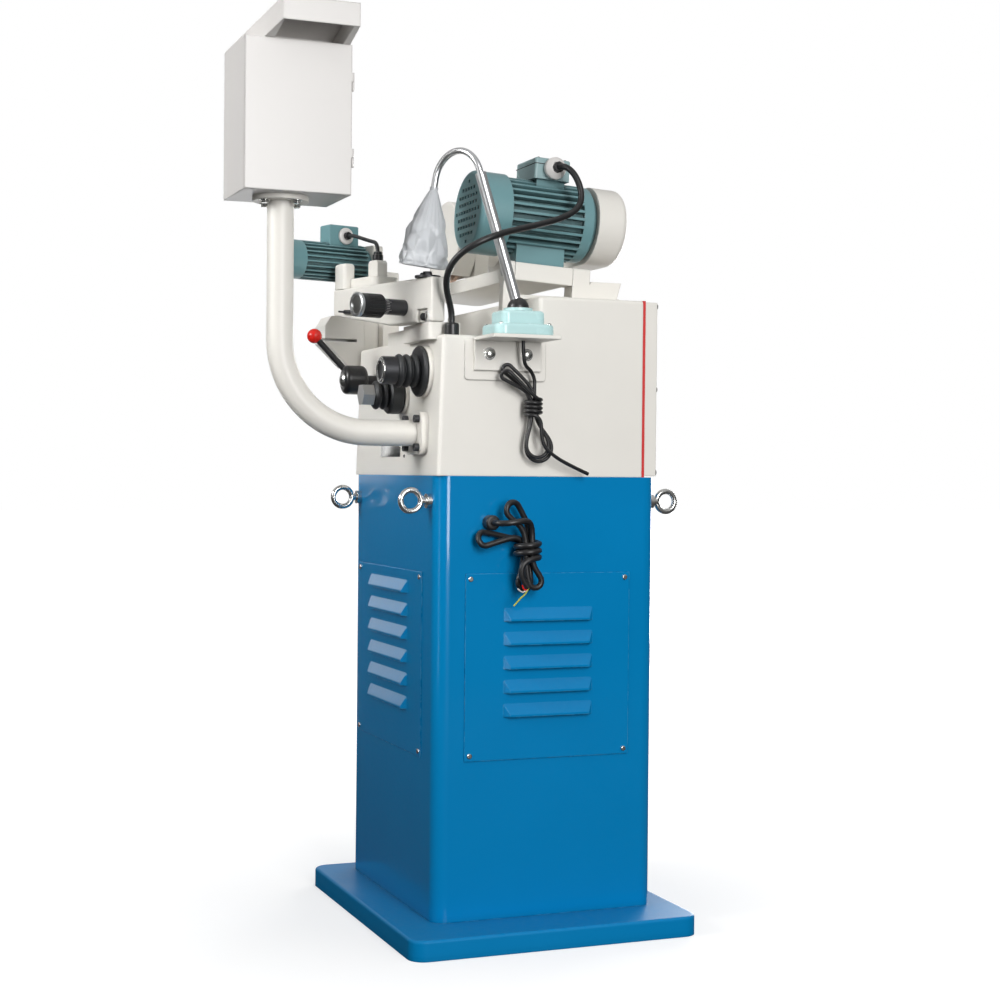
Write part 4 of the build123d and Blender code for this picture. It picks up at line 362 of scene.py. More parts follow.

# %% Painted shade in corners
corner_shade_colour = (0.16, 0.15, 0.14, 1)
painted_corner_shade, given, made = start_group(
    "painted_corner_shade", [("Colour", COLOUR, (0.5, 0.5, 0.5, 1)), ("Reach", FLOAT, 0.012), ("Amount", FLOAT, 0.5)],
    [("Colour", COLOUR)])
# Ambient occlusion finds corners, gaps and recesses, and the colour is darkened there: painted shade.
open_sky = put(painted_corner_shade, "AmbientOcclusion", {"Distance": given["Reach"]}, samples=6)
hidden = spread(painted_corner_shade, open_sky.outputs["AO"], 1.0, 0.0, start=0.15, end=0.85)
dark = mix_colours(painted_corner_shade, 1.0, given["Colour"], corner_shade_colour, "MULTIPLY")
share = sums(painted_corner_shade, "MULTIPLY", hidden, given["Amount"], clamp=True)
painted_corner_shade.links.new(mix_colours(painted_corner_shade, share, given["Colour"], dark), made["Colour"])
print("group", painted_corner_shade.name)

# %% Fine relief
fine_relief, given, made = start_group(
    "fine_relief", [("Scale", FLOAT, 400.0), ("Grain", FLOAT, 0.5)], [("Height", FLOAT)])
place = put(fine_relief, "TexCoord").outputs["Object"]
ripple = put(fine_relief, "TexNoise", {"Vector": place, "Scale": given["Scale"], "Detail": 2.0})
finer = sums(fine_relief, "MULTIPLY", given["Scale"], 2.2)
grit = put(fine_relief, "TexVoronoi", {"Vector": place, "Scale": finer})
grains = sums(fine_relief, "MULTIPLY", grit.outputs["Distance"], given["Grain"])
fine_relief.links.new(sums(fine_relief, "ADD", ripple.outputs[0], grains), made["Height"])
print("group", fine_relief.name)

# %% [markdown]
# ## Recipes
# Most surfaces on the machine are paint, bare metal, or rubber and plastic. Each recipe takes a colour
# and how glossy, rough and dusty the real surface is, how strongly its edges are marked (wear on some
# paints, a painted highlight on others), and how much painted shade lies in its corners. What is the
# same all over a surface is set on the shader itself.

# %% Painted, metal and moulded finishes
coat_roughness = 0.08
milky_depth = 0.01


def use(tree, group, **inputs):
    node = tree.nodes.new("ShaderNodeGroup")
    node.node_tree = group
    return fill_inputs(tree, node, inputs).outputs


def start_finish(name, colour, **values):
    finish = bpy.data.materials.new(name)
    finish.use_nodes = True
    shader = finish.node_tree.nodes["Principled BSDF"]
    finish.diffuse_color = colour
    for label, value in values.items():
        shader.inputs[label.replace("_", " ")].default_value = value
    return finish, finish.node_tree, shader


def relief(tree, shader, normal, scale, grain, depth):
    height = use(tree, fine_relief, Scale=scale, Grain=grain)["Height"]
    bump = put(tree, "Bump", {"Height": height, "Strength": 1.0, "Distance": depth, "Normal": normal})
    tree.links.new(bump.outputs[0], shader.inputs["Normal"])


def paint(name, colour, rough, edge_wear_and_highlight=0.3, edge_wear_and_highlight_colour=(0.6, 0.6, 0.6, 1), edge=0.0015, dust=0.15, drift=0.1,
          peel=320.0, grain=0.0, depth=0.00006, coat=0.0, shade_in_corners=0.35, reach=0.010, shine=0.5):
    finish, tree, shader = start_finish(name, colour, Specular_IOR_Level=shine, Coat_Weight=coat,
                                        Coat_Roughness=coat_roughness)
    edges = use(tree, worn_and_highlit_edges, Radius=edge, Amount=edge_wear_and_highlight)
    tone = use(tree, settled_dust, Colour=colour, Dust=dust, Drift=drift)
    # Painted shade: the tone is darkened in corners and gaps.
    corner_shaded_tone = use(tree, painted_corner_shade, Colour=tone["Colour"], Reach=reach, Amount=shade_in_corners)["Colour"]
    # The edge colour goes over it: wear on grey-edged paints, a painted highlight on the paler blue and
    # greens.
    tree.links.new(mix_colours(tree, edges["Mask"], corner_shaded_tone, edge_wear_and_highlight_colour), shader.inputs["Base Color"])
    tree.links.new(spread(tree, tone["Haze"], rough * 0.8, rough * 1.3), shader.inputs["Roughness"])
    relief(tree, shader, edges["Normal"], peel, grain, depth)
    return finish


def metal(name, colour, rough, edge=0.0008, drift=0.12, scale=700.0, grain=0.2, depth=0.00001, metallic=1.0):
    finish, tree, shader = start_finish(name, colour, Metallic=metallic)
    edges = use(tree, worn_and_highlit_edges, Radius=edge, Amount=0.4)
    tone = use(tree, settled_dust, Colour=colour, Dust=0.1, Drift=drift)
    bright = (*[min(1.0, c * 1.5 + 0.05) for c in colour[:3]], 1)
    tree.links.new(mix_colours(tree, edges["Mask"], tone["Colour"], bright), shader.inputs["Base Color"])
    tree.links.new(spread(tree, tone["Haze"], rough * 0.7, rough * 1.35), shader.inputs["Roughness"])
    relief(tree, shader, edges["Normal"], scale, grain, depth)
    return finish


def moulded(name, colour, rough, edge=0.0006, dust=0.25, drift=0.15, scale=900.0, grain=0.3, depth=0.00003,
            milky=0.0):
    finish, tree, shader = start_finish(name, colour, Subsurface_Weight=milky, Subsurface_Radius=(1, 1, 1),
                                        Subsurface_Scale=milky_depth)
    tone = use(tree, settled_dust, Colour=colour, Dust=dust, Drift=drift)
    tree.links.new(tone["Colour"], shader.inputs["Base Color"])
    tree.links.new(spread(tree, tone["Haze"], rough * 0.8, rough * 1.3), shader.inputs["Roughness"])
    relief(tree, shader, put(tree, "Bevel", {"Radius": edge}, samples=4).outputs[0], scale, grain, depth)
    return finish


# %% The machine's finishes
machine_blue = srgb(0, 125, 184)
# A paler blue on the edges of the blue paint: a painted highlight.
edge_highlight_blue = srgb(110, 190, 225)
finishes = {
    "cream_paint": paint("cream_paint", srgb(231, 228, 221), 0.38, edge_wear_and_highlight=0.10, edge=0.003, depth=0.00008),
    "blue_paint": paint("blue_paint", machine_blue, 0.20, edge_wear_and_highlight_colour=edge_highlight_blue, edge=0.0025, dust=0.04,
                        depth=0.00002, reach=0.02, shine=0.12, coat=0.55),
    "scuffed_blue": paint("scuffed_blue", machine_blue, 0.40, edge_wear_and_highlight_colour=edge_highlight_blue, edge=0.0025, dust=0.06,
                          depth=0.00002, reach=0.02, shine=0.12),
    # The paler edge greens of the motor and terminal box paints are painted highlights, and the motor's
    # strong corner darkening is painted shade between its fins.
    "motor_green": paint("motor_green", srgb(108, 149, 154), 0.34, edge_wear_and_highlight=0.35, edge_wear_and_highlight_colour=srgb(170, 196, 197),
                         dust=0.08, shade_in_corners=1.0, reach=0.016),
    "terminal_green": paint("terminal_green", srgb(146, 173, 175), 0.3, edge_wear_and_highlight_colour=srgb(190, 206, 206)),
    "lamp_green": paint("lamp_green", srgb(186, 221, 221), 0.26, edge_wear_and_highlight=0.2, edge=0.004, peel=150.0,
                        depth=0.0005, coat=0.2),
    "box_white": paint("box_white", srgb(219, 216, 213), 0.3, edge_wear_and_highlight=0.04, edge=0.003, dust=0.05,
                       shade_in_corners=0.25),
    "chrome": metal("chrome", (0.70, 0.71, 0.72, 1), 0.30, drift=0.04, depth=0.000003),
    "steel": metal("steel", (0.50, 0.50, 0.49, 1), 0.3),
    "zinc": metal("zinc", (0.68, 0.68, 0.66, 1), 0.24),
    "worn_steel": metal("worn_steel", (0.62, 0.62, 0.61, 1), 0.42),
    "dark_steel": metal("dark_steel", (0.045, 0.046, 0.05, 1), 0.38, metallic=0.6),
    "black_rubber": moulded("black_rubber", (0.016, 0.018, 0.020, 1), 0.45),
    "black_plastic": moulded("black_plastic", (0.012, 0.012, 0.013, 1), 0.34, dust=0.15),
    "cable_black": moulded("cable_black", (0.012, 0.012, 0.013, 1), 0.38, dust=0.12),
    "red_plastic": moulded("red_plastic", srgb(214, 36, 26), 0.14, dust=0.03, depth=0.00001),
    "green_plastic": moulded("green_plastic", srgb(40, 150, 70), 0.16, dust=0.05, depth=0.00001),
    "red_gasket": moulded("red_gasket", srgb(208, 44, 44), 0.5, dust=0.05),
    "abrasive": moulded("abrasive", srgb(196, 168, 150), 0.85, scale=1400.0, grain=1.0, depth=0.0003),
    "cast_iron": metal("cast_iron", (0.22, 0.22, 0.22, 1), 0.42, scale=500.0, depth=0.00003),
    "film": moulded("film", srgb(198, 201, 204), 0.30, dust=0.0, drift=0.05, scale=60.0,
                    grain=0.0, depth=0.0002, milky=0.5),
    "earth": moulded("earth", srgb(176, 178, 60), 0.3, dust=0.03),
}
print(len(finishes), "finishes")

# %% [markdown]
# ## Dressing the CAD parts
# Each CAD part says in the record which finish it has, so one loop dresses them all. Three parts look
# different from the rest of their kind: the terminal box is paler than the motors, the lower rod is worn,
# and the base plate's paint is scuffed dull.

# %% Dress the CAD parts
def dress(piece, slot):
    piece.data.materials.clear()
    piece.data.materials.append(finishes[slot])


own_finishes = {"motor_terminal_box": "terminal_green", "lower_rod": "worn_steel",
                "base_plate": "scuffed_blue"}
for part in frame["record"]["subparts"]:
    dress(frame["nodes"][part["node"]], own_finishes.get(part["node"], part["material_slot"]))

# %% [markdown]
# ## Joining the cords to the machine
# A cord rides on the body that holds it and stands for its plain CAD solids, which are hidden. The
# length of each cord is measured along its line. The motor cable is dressed and its CAD solid hidden.

def line_length(points):
    return sum((Vector(b) - Vector(a)).length for a, b in zip(points, points[1:]))


def add_piece(piece, body, slot, *nodes):
    dress(piece, slot)
    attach(piece, body)
    if nodes:
        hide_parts(*nodes)
    return piece


power_length = line_length(line_points(power_cord))
lamp_cord_length = line_length(line_points(lamp_cord))
feed_length = line_length(line_points(feed_cable))
add_piece(power_cord, "machine_frame", "cable_black", "power_cord", "power_cord_hank")
add_piece(lamp_cord, "machine_frame", "cable_black", "lamp_cord", "lamp_cord_hank")
add_piece(feed_cable, "swivel_arm", "cable_black", "feed_cable")
dress(motor_cable, "cable_black")
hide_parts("motor_cable")
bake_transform(motor_cable)

# %% [markdown]
# ## Rubber boots
# A boot keeps grit out of a push rod: a wide root on the body, then folds that open and close; it
# stretches when the rod slides. A lathe shape suits it, so a half outline is spun about the rod, with
# round crests and sharp valleys.

# %% Turned shapes
seam_gap = 1e-6


def finish_mesh(name, shape, sharp=35):
    mesh = bpy.data.meshes.new(name)
    shape.to_mesh(mesh)
    shape.free()
    mesh.shade_smooth()
    mesh.set_sharp_from_angle(angle=radians(sharp))
    piece = bpy.data.objects.new(name, mesh)
    scene.collection.objects.link(piece)
    return piece


def spin_outline(shape, outline, place, steps):
    rim = [shape.verts.new((radius, 0, height)) for radius, height in outline]
    edges = [shape.edges.new(pair) for pair in zip(rim, rim[1:])]
    old = set(shape.verts) - set(rim)
    bmesh.ops.spin(shape, geom=rim + edges, cent=(0, 0, 0), axis=(0, 0, 1), angle=2 * pi, steps=steps,
                   use_merge=True)
    new = [vertex for vertex in shape.verts if vertex not in old]
    bmesh.ops.transform(shape, matrix=place, verts=new)
    bmesh.ops.remove_doubles(shape, verts=new, dist=seam_gap)
    bmesh.ops.recalc_face_normals(shape, faces=shape.faces)


def toward_front(x, y, z):
    return Matrix.Translation((x, y, z)) @ Matrix.Rotation(pi / 2, 4, "X")


# %% Rubber boots
fold_pitch = 0.013
fold_steps = 8
boot_steps = 64
boot_seat = -0.203
rod_bore = 0.0102
upper_rod_spot = (0.150, 0.949)
lower_rod_spot = (0.040, 0.912)


def boot_outline(root, root_radius, folds, neck, crest, lip):
    outline = [(rod_bore, 0), (root_radius - lip, 0), (root_radius, lip), (root_radius, root - lip),
               (root_radius - lip, root)]
    for i in range(folds):
        for step in range(fold_steps + 1):
            share = step / fold_steps
            swell = sin(pi * share) ** 0.7
            outline.append((neck + (crest - neck) * swell, root + fold_pitch * (i + 0.04 + 0.92 * share)))
    end = root + folds * fold_pitch
    return outline + [(neck - 0.001, end), (rod_bore, end)]


def add_boot(name, node, spot, outline):
    x, z = spot
    shape = bmesh.new()
    spin_outline(shape, outline, toward_front(x, boot_seat, z), boot_steps)
    boot = finish_mesh(name, shape)
    dress(boot, "black_rubber")
    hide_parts(node)
    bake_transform(boot)
    return boot


upper_outline = boot_outline(root=0.008, root_radius=0.043, folds=3, neck=0.022, crest=0.028, lip=0.0025)
lower_outline = boot_outline(root=0.025, root_radius=0.032, folds=2, neck=0.0176, crest=0.025, lip=0.003)
upper_boot = add_boot("upper_boot_folds", "upper_boot", upper_rod_spot, upper_outline)
lower_boot = add_boot("lower_boot_folds", "lower_boot", lower_rod_spot, lower_outline)
print("boots", len(upper_boot.data.polygons), len(lower_boot.data.polygons))

# %% [markdown]
# ## Film round the lamp shade
# The shade is still in its packing film: a thin bag, gathered round the arch above it and loose below.
# Draping it as cloth is possible, but the photograph fixes its outline, so a fine tube is bent to that
# outline instead: pleats that start at the neck, and creases from cell noise, whose ridges are straight
# as in real film.

# %% Film bag
film_tip = Vector((0.1743, -0.1933, 1.2423))
film_axis = Vector((0.0016, 0.011, 0.0705)).normalized()
film_place = Matrix.Translation(film_tip) @ film_axis.to_track_quat("Z", "Y").to_matrix().to_4x4()
# Half outline of the bag: distance below the tip of the arch, then radius
film_outline = [
    (-0.012, 0.0072), (-0.007, 0.0066), (0.000, 0.0100), (0.010, 0.0142), (0.028, 0.0212), (0.052, 0.0285),
    (0.080, 0.0350), (0.100, 0.0388), (0.114, 0.0402), (0.1215, 0.0388), (0.1228, 0.030)]
# The hem hangs lower on the right-hand side, towards the front
hem_side = Vector((0.93, -0.37, 0))
hem_centre = -film_axis.dot(hem_side)
hem_lean = 0.14
# Depths as shares of the radius, and how many cells or waves there are in a metre
pleat_depth, fine_pleat_depth = 0.10, 0.06
crease_depth, crease_cells = 0.27, 34
sag_depth, sag_waves = 0.12, 15
fine_sag_depth, fine_sag_waves = 0.05, 40
full_radius = 0.03
film_rows = 88
film_columns = 160


def film_spot(share):
    reach = share * (len(film_outline) - 1)
    index = min(int(reach), len(film_outline) - 2)
    first, second = film_outline[index:index + 2]
    part = reach - index
    return tuple(a + (b - a) * part for a, b in zip(first, second))


def crumple(place, angle, drop):
    gathered = max(0.2, 1 - 11 * drop)
    pleat = abs(sin(2.5 * angle + 1.6 * sin(angle + 1.0) + 7 * drop)) - 0.6
    fine_pleat = abs(sin(8 * angle + 2 * sin(2 * angle) - 9 * drop)) - 0.6
    cells = noise.voronoi(place * crease_cells)[0]
    ridge = cells[1] - cells[0] - 0.28
    creases = crease_depth * ridge * min(1, 14 * drop)
    sag = sag_depth * noise.noise(place * sag_waves) + fine_sag_depth * noise.noise(place * fine_sag_waves)
    return gathered * (pleat_depth * pleat + fine_pleat_depth * fine_pleat) + creases + sag


shape = bmesh.new()
bmesh.ops.create_cone(shape, cap_ends=False, segments=film_columns, radius1=1, radius2=1, depth=1)
flanks = [edge for edge in shape.edges if abs(edge.verts[0].co.z - edge.verts[1].co.z) > 0.5]
bmesh.ops.subdivide_edges(shape, edges=flanks, cuts=film_rows)
for vertex in shape.verts:
    drop, radius = film_spot(0.5 - vertex.co.z)
    angle = atan2(vertex.co.y, vertex.co.x)
    ring = Vector((cos(angle), sin(angle), 0)) * radius
    spot = ring + Vector((0, 0, -drop))
    swell = min(1.0, max(0.25, radius / full_radius)) * crumple(spot, angle, max(0.0, drop))
    vertex.co = film_place @ (spot + ring * swell)
    lean = (vertex.co - film_tip).dot(hem_side) - hem_centre * drop
    vertex.co.z -= hem_lean * lean * max(0.0, drop / film_outline[-1][0]) ** 2
bmesh.ops.recalc_face_normals(shape, faces=shape.faces)
film_bag = finish_mesh("film_bag", shape, sharp=50)
add_piece(film_bag, "lamp_arm", "film", "lamp_wrap")

# %% [markdown]
# ## Glands
# A cable enters a housing through a gland: a pale collar on the wall and a black nut that squeezes a seal
# round the cable. Both are lathe shapes, spun from a half outline. The nut gets few steps, so it keeps
# its flats.

# %% Cable glands
def closed(outline):
    return outline + ([(0, outline[-1][1])] if outline[0][0] == 0 else outline[:1])


def add_turned(name, outline, places, body, slot, steps=48):
    shape = bmesh.new()
    for place in places:
        spin_outline(shape, closed(outline), place, steps)
    return add_piece(finish_mesh(name, shape), body, slot)


def toward_right(x, y, z):
    return Matrix.Translation((x, y, z)) @ Matrix.Rotation(pi / 2, 4, "Y")


def above_arm(x, y, rise):
    return arm_place @ Matrix.Translation((x, y, arm_top + rise))


nut_flats = 8
lug_nut_flats = 12
head_corner = Vector((0, 0.085, 1.104))
head_lean = Matrix.Rotation(radians(-3.3), 4, "X")
head_tilt = Matrix.Translation(head_corner) @ head_lean @ Matrix.Translation(-head_corner)
terminal_middle = (0.100, 0.0255)
gland_wall, gland_height = 0.164, 1.3025
motor_gland = head_tilt @ toward_right(gland_wall, terminal_middle[1], gland_height)
motor_collar = [(0.0065, 0.0012), (0.0112, 0.0012), (0.0122, 0.0004), (0.0190, -0.0064), (0.0192, -0.0076),
                (0.0192, -0.0140), (0.0182, -0.0140)]
motor_nut = [(0.0057, 0.009), (0.0084, 0.009), (0.0098, 0.0078), (0.0098, 0.0008)]
add_turned("motor_gland_collar", motor_collar, [motor_gland], "grinding_head", "box_white")
add_turned("motor_gland_nut", motor_nut, [motor_gland], "grinding_head", "black_plastic", nut_flats)

feed_gland = above_arm(*feed_rises[0]) @ Matrix.Rotation(-pi / 2, 4, "Y")
feed_collar = [(0.0055, 0.0045), (0.0125, 0.0045), (0.0148, 0.0030), (0.0152, 0.0015), (0.0152, 0)]
feed_nut = [(0.0036, 0.012), (0.0062, 0.012), (0.0070, 0.011), (0.0070, 0.004)]
add_turned("feed_gland_collar", feed_collar, [feed_gland], "swivel_arm", "box_white")
add_turned("feed_gland_nut", feed_nut, [feed_gland], "swivel_arm", "black_plastic", nut_flats)
lug_gland = above_arm(*feed_rises[-1])
lug_nut = [(0.0036, 0.016), (0.0066, 0.016), (0.0078, 0.0145), (0.0078, 0.011), (0.0095, 0.010),
           (0.0095, 0.001), (0.0085, 0)]
add_turned("lug_gland_nut", lug_nut, [lug_gland], "swivel_arm", "black_plastic", lug_nut_flats)
print("motor gland at", [round(c, 4) for c in motor_gland.translation])

# %% [markdown]
# ## Micrometer
# The stop screw on the arm reads like a micrometer: a bright bezel round the end of the knob, and a scale
# of fine lines on the sleeve. The lines are real bars let into the sleeve, laid round it by a loop, with
# every fifth one longer.

# %% Micrometer bezel and scale
def finish_bars(name, shape, body, slot):
    bmesh.ops.recalc_face_normals(shape, faces=shape.faces)
    return add_piece(finish_mesh(name, shape, sharp=30), body, slot)


def add_block(shape, size, place, edge):
    made = bmesh.ops.create_cube(shape, size=1, matrix=place @ Matrix.Diagonal((*size, 1)))["verts"]
    edges = list({e for vertex in made for e in vertex.link_edges})
    bmesh.ops.bevel(shape, geom=edges, offset=edge, segments=2, profile=0.5, affect="EDGES", material=-1)


stop_screw = (0.050, 0, 1.0564)
micrometer = arm_place @ Matrix.Translation(stop_screw)
knob_reach = 0.1064
knob_end = micrometer @ Matrix.Translation((0, knob_reach, 0)) @ Matrix.Rotation(-pi / 2, 4, "X")
bezel = [(0.0150, 0.0005), (0.0150, 0.0022), (0.0162, 0.0032), (0.0185, 0.0032), (0.0202, 0.0022),
         (0.0206, 0.0005), (0.0206, -0.0030), (0.0200, -0.0035)]
knob_face = [(0, 0.0016), (0.008, 0.0013), (0.0152, 0.0008), (0.0152, -0.001)]
add_turned("micrometer_bezel", bezel, [knob_end], "micrometer_knob", "chrome")
add_turned("micrometer_face", knob_face, [knob_end], "micrometer_knob", "steel")
sleeve_radius = 0.0135
sleeve_end = 0.056
scale_lines = 30
line_width = 0.0005
line_bevel = 0.0001
shape = bmesh.new()
for i in range(scale_lines):
    length = 0.010 if i % 5 == 0 else 0.006
    turn = Matrix.Rotation(2 * pi * i / scale_lines, 4, "Y")
    line_place = micrometer @ turn @ Matrix.Translation((0, sleeve_end - length / 2, sleeve_radius))
    add_block(shape, (line_width, length, line_width), line_place, line_bevel)
finish_bars("micrometer_scale", shape, "swivel_arm", "box_white")
print("scale of", scale_lines, "lines")

# %% [markdown]
# ## Turned trim
# Rings, domes and caps that a lathe would make: the plated ring on the upper knob, the bright dome in the
# lever's hub, caps over the bracket's screws, the hex bolts that hold the control box to its post, and the
# screws of the lamp's base. A bolt head is spun in six steps, which leaves its flats.

# %% Rings, domes and caps
def four_corners(middle, half_x, half_y, height):
    return [Matrix.Translation((middle[0] + x, middle[1] + y, height))
            for x in (-half_x, half_x) for y in (-half_y, half_y)]


knob_ring = [(0.0155, 0.0004), (0.0160, 0.0018), (0.0185, 0.0024), (0.0210, 0.0016), (0.0216, 0.0002),
             (0.0216, -0.001)]
knob_front = toward_front(upper_rod_spot[0], -0.274, upper_rod_spot[1])
add_turned("upper_knob_ring", knob_ring, [knob_front], "upper_rod", "zinc")
hub_dome = [(0, 0.006), (0.006, 0.0052), (0.0105, 0.0030), (0.0130, 0.0003), (0.0130, -0.001)]
hub_front = toward_front(-0.097, -0.266, 0.944)
add_turned("lever_hub_dome", hub_dome, [hub_front], "control_lever", "steel")
screw_cap = [(0, 0.0088), (0.0052, 0.0088), (0.0070, 0.0076), (0.0072, 0.0005), (0.0105, 0.0005),
             (0.0105, -0.0008)]
cap_places = [toward_right(0.237, y, 0.9765) for y in (-0.114, -0.047)]
add_turned("bracket_caps", screw_cap, cap_places, "machine_frame", "zinc")
print("bracket caps", len(cap_places))

# %% Bolts and screws
post_x, post_y, flange_low = 0.133, -0.443, 1.220
bolt_circle = 0.036
bolt_angles = [radians(degrees) for degrees in (-150, -60, 30, 120)]
bolt_sides, washer_steps, screw_steps = 6, 32, 24
hanging = Matrix.Rotation(pi, 4, "X")
flange_bolts = [Matrix.Translation((post_x + bolt_circle * cos(a), post_y + bolt_circle * sin(a), flange_low))
                @ hanging for a in bolt_angles]
bolt_head = [(0, 0.0060), (0.0060, 0.0060), (0.0070, 0.0050), (0.0070, 0)]
washer = [(0.004, 0.0014), (0.0095, 0.0014), (0.0098, 0.0010), (0.0098, 0)]
add_turned("flange_bolts", bolt_head, flange_bolts, "machine_frame", "zinc", bolt_sides)
add_turned("flange_washers", washer, flange_bolts, "machine_frame", "zinc", washer_steps)
base_screw = [(0, 0.0022), (0.0018, 0.0020), (0.0034, 0.0010), (0.0038, 0), (0.0038, -0.001)]
base_screw_places = four_corners((0.278, -0.0805), 0.032, 0.042, 1.022)
add_turned("lamp_base_screws", base_screw, base_screw_places, "machine_frame", "zinc", screw_steps)
print("flange bolts", len(flange_bolts), "and base screws", len(base_screw_places))

# %% [markdown]
# ## Bars and plates
# A small T-handle sits on the face of the arm, a screw and a spring wire in its notch, and a bare plate
# with two pins is riveted to the front. A bar is turned between its two ends, and a plate is a block with
# its edges bevelled.

# %% T-handle and notch screw
bar_steps = 24


def add_bar(name, start, end, radius, body, slot):
    aim = Vector(end) - Vector(start)
    lip = radius / 4
    length = aim.length
    place = Matrix.Translation(start) @ aim.to_track_quat("Z", "Y").to_matrix().to_4x4()
    outline = [(0, length), (radius - lip, length), (radius, length - lip), (radius, lip), (radius - lip, 0)]
    return add_turned(name, outline, [place], body, slot, bar_steps)


arm_face = 0.014
screw_radius, bar_radius, notch_radius, wire_radius = 0.0036, 0.0019, 0.0065, 0.0011
screw_ends = [arm_place @ Vector((0.222, y, 1.0605)) for y in (arm_face - 0.004, arm_face + 0.012)]
bar_ends = [arm_place @ Vector((x, arm_face + 0.010, z)) for x, z in ((0.242, 1.0625), (0.202, 1.0580))]
notch_ends = [arm_place @ Vector((-0.004, y, 1.0384)) for y in (0.005, 0.0140)]
add_bar("lock_screw", *screw_ends, screw_radius, "swivel_arm", "dark_steel")
add_bar("lock_bar", *bar_ends, bar_radius, "swivel_arm", "dark_steel")
add_bar("notch_screw", *notch_ends, notch_radius, "swivel_arm", "dark_steel")
wire_spots = [(-0.012, 0.010, 1.030), (-0.013, 0.013, 1.043), (-0.020, 0.0145, 1.0475),
              (-0.0255, 0.0145, 1.042), (-0.0265, 0.013, 1.030)]
notch_wire = cord_line("notch_wire", [arm_place @ Vector(spot) for spot in wire_spots], wire_radius)
add_piece(notch_wire, "swivel_arm", "chrome")
print("T-handle bar of", round((bar_ends[1] - bar_ends[0]).length, 3), "m")

# %% Front plate
plate_size = (0.107, 0.0012, 0.020)
plate_middle = (-0.0195, -0.2002, 0.816)
plate_bevel = 0.0003
front_lean = Matrix.Rotation(radians(-1.97), 4, "X")
shape = bmesh.new()
add_block(shape, plate_size, Matrix.Translation(plate_middle) @ front_lean, plate_bevel)
finish_bars("front_plate", shape, "machine_frame", "zinc")
pin = [(0, 0.0020), (0.0016, 0.0018), (0.0028, 0.0008), (0.0030, -0.002)]
pin_places = [toward_front(x, -0.2000, z) for x, z in ((0.050, 0.823), (0.056, 0.807))]
pin_steps = 20
add_turned("front_pins", pin, pin_places, "machine_frame", "dark_steel", pin_steps)
print("front plate of", plate_size[0], "m and", len(pin_places), "pins")

# %% [markdown]
# ## Lid seam and bare cores
# The terminal box has a lid: a thin seal shows all round it, and four screws hold it. The power cord ends
# in stripped cores, since no plug has been fitted yet: a white one, a red one and a yellow-green earth.

# %% Terminal box lid
seal_size = (0.0892, 0.0672, 0.0014)
seal_height = 1.3100
seal_bevel = 0.0003
lid_top = 1.3210
shape = bmesh.new()
add_block(shape, seal_size, head_tilt @ Matrix.Translation((*terminal_middle, seal_height)), seal_bevel)
finish_bars("terminal_seal", shape, "grinding_head", "black_rubber")
lid_screw = [(0, 0.0018), (0.0014, 0.0017), (0.0027, 0.0008), (0.0030, 0), (0.0030, -0.001)]
lid_screw_places = [head_tilt @ corner for corner in four_corners(terminal_middle, 0.036, 0.025, lid_top)]
lid_screw_steps = 20
add_turned("lid_screws", lid_screw, lid_screw_places, "grinding_head", "zinc", lid_screw_steps)
print("lid screws at height", lid_top)

# %% Bare cores
core_x = 0.273
core_step = 0.002
core_radius = 0.0013
core_runs = [
    ("white_core", "box_white", [(-0.056, 0.590), (-0.062, 0.583), (-0.071, 0.584), (-0.0766, 0.5892)]),
    ("red_core", "red_plastic", [(-0.056, 0.591), (-0.060, 0.586), (-0.066, 0.588), (-0.0687, 0.5951)]),
    ("earth_core", "earth", [(-0.055, 0.590), (-0.061, 0.580), (-0.071, 0.574), (-0.0838, 0.5608)])]
for name, finish, places in core_runs:
    run = [(core_x + core_step * i, y, z) for i, (y, z) in enumerate(places)]
    core = tube_mesh(name, cord_line(name + "_line", run, core_radius))
    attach(core, "machine_frame")
    dress(core, finish)

# %% [markdown]
# ## Floor and light
# The machine stands in a dim workshop before a white backdrop. A tall soft lamp beside the camera lights
# the right-hand side, a narrow beam from high up lights the front and fades towards the floor, a thin strip
# draws a line along the rounded corners, and a small window shines in the louvres. One more soft lamp stands
# behind, for the left-hand side and the back. Light Path lets the floor and the backdrop look white to the
# camera and in metal, without more light on the machine.

# %% Floor
def behind_machine(tree, toward):
    ahead = put(tree, "VectorMath", {0: toward, 1: tuple(-back)}, operation="DOT_PRODUCT").outputs["Value"]
    return spread(tree, ahead, 0.0, 1.0, start=0.80, end=0.90)


def seen_white(tree, toward):
    path = put(tree, "LightPath").outputs
    mirrored = sums(tree, "MULTIPLY", path["Is Glossy Ray"], behind_machine(tree, toward))
    direct = sums(tree, "MAXIMUM", path["Is Camera Ray"], path["Is Transmission Ray"])
    return sums(tree, "MAXIMUM", direct, mirrored)


floor_size = 60.0
shape = bmesh.new()
bmesh.ops.create_grid(shape, x_segments=1, y_segments=1, size=floor_size / 2)
floor = finish_mesh("floor", shape)
paper = bpy.data.materials.new("paper")
paper.use_nodes = True
tree = paper.node_tree
tree.nodes.clear()
spot = put(tree, "TexCoord").outputs["Object"]
reach = put(tree, "VectorMath", {0: spot}, operation="LENGTH").outputs["Value"]
fade = spread(tree, reach, 0.58, 1.0, start=0.35, end=1.5)
plain = put(tree, "BsdfDiffuse", {"Color": (0.50, 0.50, 0.50, 1)})
glow = put(tree, "Emission", {"Color": (1, 1, 1, 1), "Strength": fade})
pale = put(tree, "AddShader", {0: plain.outputs[0], 1: glow.outputs[0]})
dull = put(tree, "BsdfDiffuse", {"Color": (0.08, 0.08, 0.08, 1)})
toward = put(tree, "VectorMath", {0: spot}, operation="NORMALIZE").outputs[0]
both = put(tree, "MixShader", {0: seen_white(tree, toward), 1: dull.outputs[0], 2: pale.outputs[0]})
put(tree, "OutputMaterial", {"Surface": both.outputs[0]})
floor.data.materials.append(paper)
print("floor is", floor_size, "m wide")

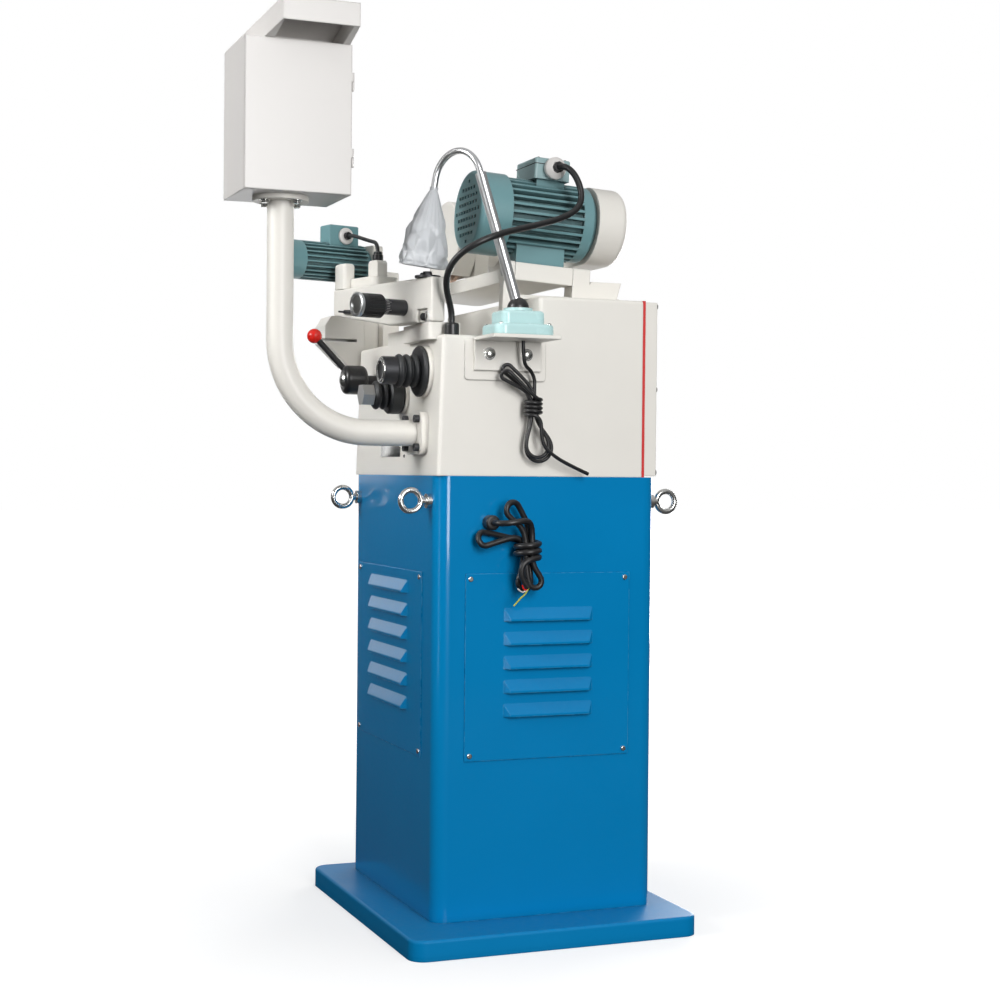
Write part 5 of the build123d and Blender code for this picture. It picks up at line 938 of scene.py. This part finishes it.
# %% Backdrop and workshop
sky = bpy.data.worlds.new("sky")
sky.use_nodes = True
scene.world = sky
tree = sky.node_tree
tree.nodes.clear()
path = put(tree, "LightPath").outputs
gaze = put(tree, "TexCoord").outputs["Generated"]
high = put(tree, "SeparateXYZ", {0: gaze}).outputs["Z"]
room = spread(tree, high, 0.04, 0.55, start=0.0, end=0.9)
mirrored = sums(tree, "MAXIMUM", behind_machine(tree, gaze), room)
direct = sums(tree, "MAXIMUM", path["Is Camera Ray"], path["Is Transmission Ray"])
fill = spread(tree, high, 0.18, 0.42, start=-0.2, end=0.8)
lit = put(tree, "Mix", {0: path["Is Glossy Ray"], 2: fill, 3: mirrored}, data_type="FLOAT").outputs[0]
shown = put(tree, "Mix", {0: direct, 2: lit, 3: 1.0}, data_type="FLOAT").outputs[0]
white = put(tree, "Background", {"Color": (1, 1, 1, 1), "Strength": shown})
put(tree, "OutputWorld", {"Surface": white.outputs[0]})
print("backdrop of", len(tree.nodes), "nodes")


# %% Lamps
def soft_lamp(name, place, target, width, height, watts, spread_degrees=180):
    lamp = bpy.data.lights.new(name, "AREA")
    lamp.shape = "RECTANGLE"
    lamp.size, lamp.size_y, lamp.energy = width, height, watts
    lamp.spread = radians(spread_degrees)
    light = bpy.data.objects.new(name, lamp)
    light.location = place
    light.rotation_euler = (Vector(target) - Vector(place)).to_track_quat("-Z", "Y").to_euler()
    scene.collection.objects.link(light)


soft_lamp("key", (3.5, -0.10, 1.55), (0.1, 0, 0.8), width=0.9, height=2.2, watts=90)
soft_lamp("front", (0.1, -4.0, 2.6), (0.05, -0.25, 1.27), width=1.8, height=1.3, watts=7.2, spread_degrees=30)
soft_lamp("corner_strip", (1.55, -3.54, 0.9), (0.2, -0.2, 0.6), width=0.09, height=2.4, watts=6)
soft_lamp("louvre_window", (-2.33, -0.74, 1.10), (0, -0.2, 0.62), width=0.45, height=0.73, watts=0.9)
soft_lamp("rear", (-2.9, 2.9, 1.1), (0, 0, 0.85), width=1.6, height=2.0, watts=100)
scene.view_settings.view_transform = "Standard"
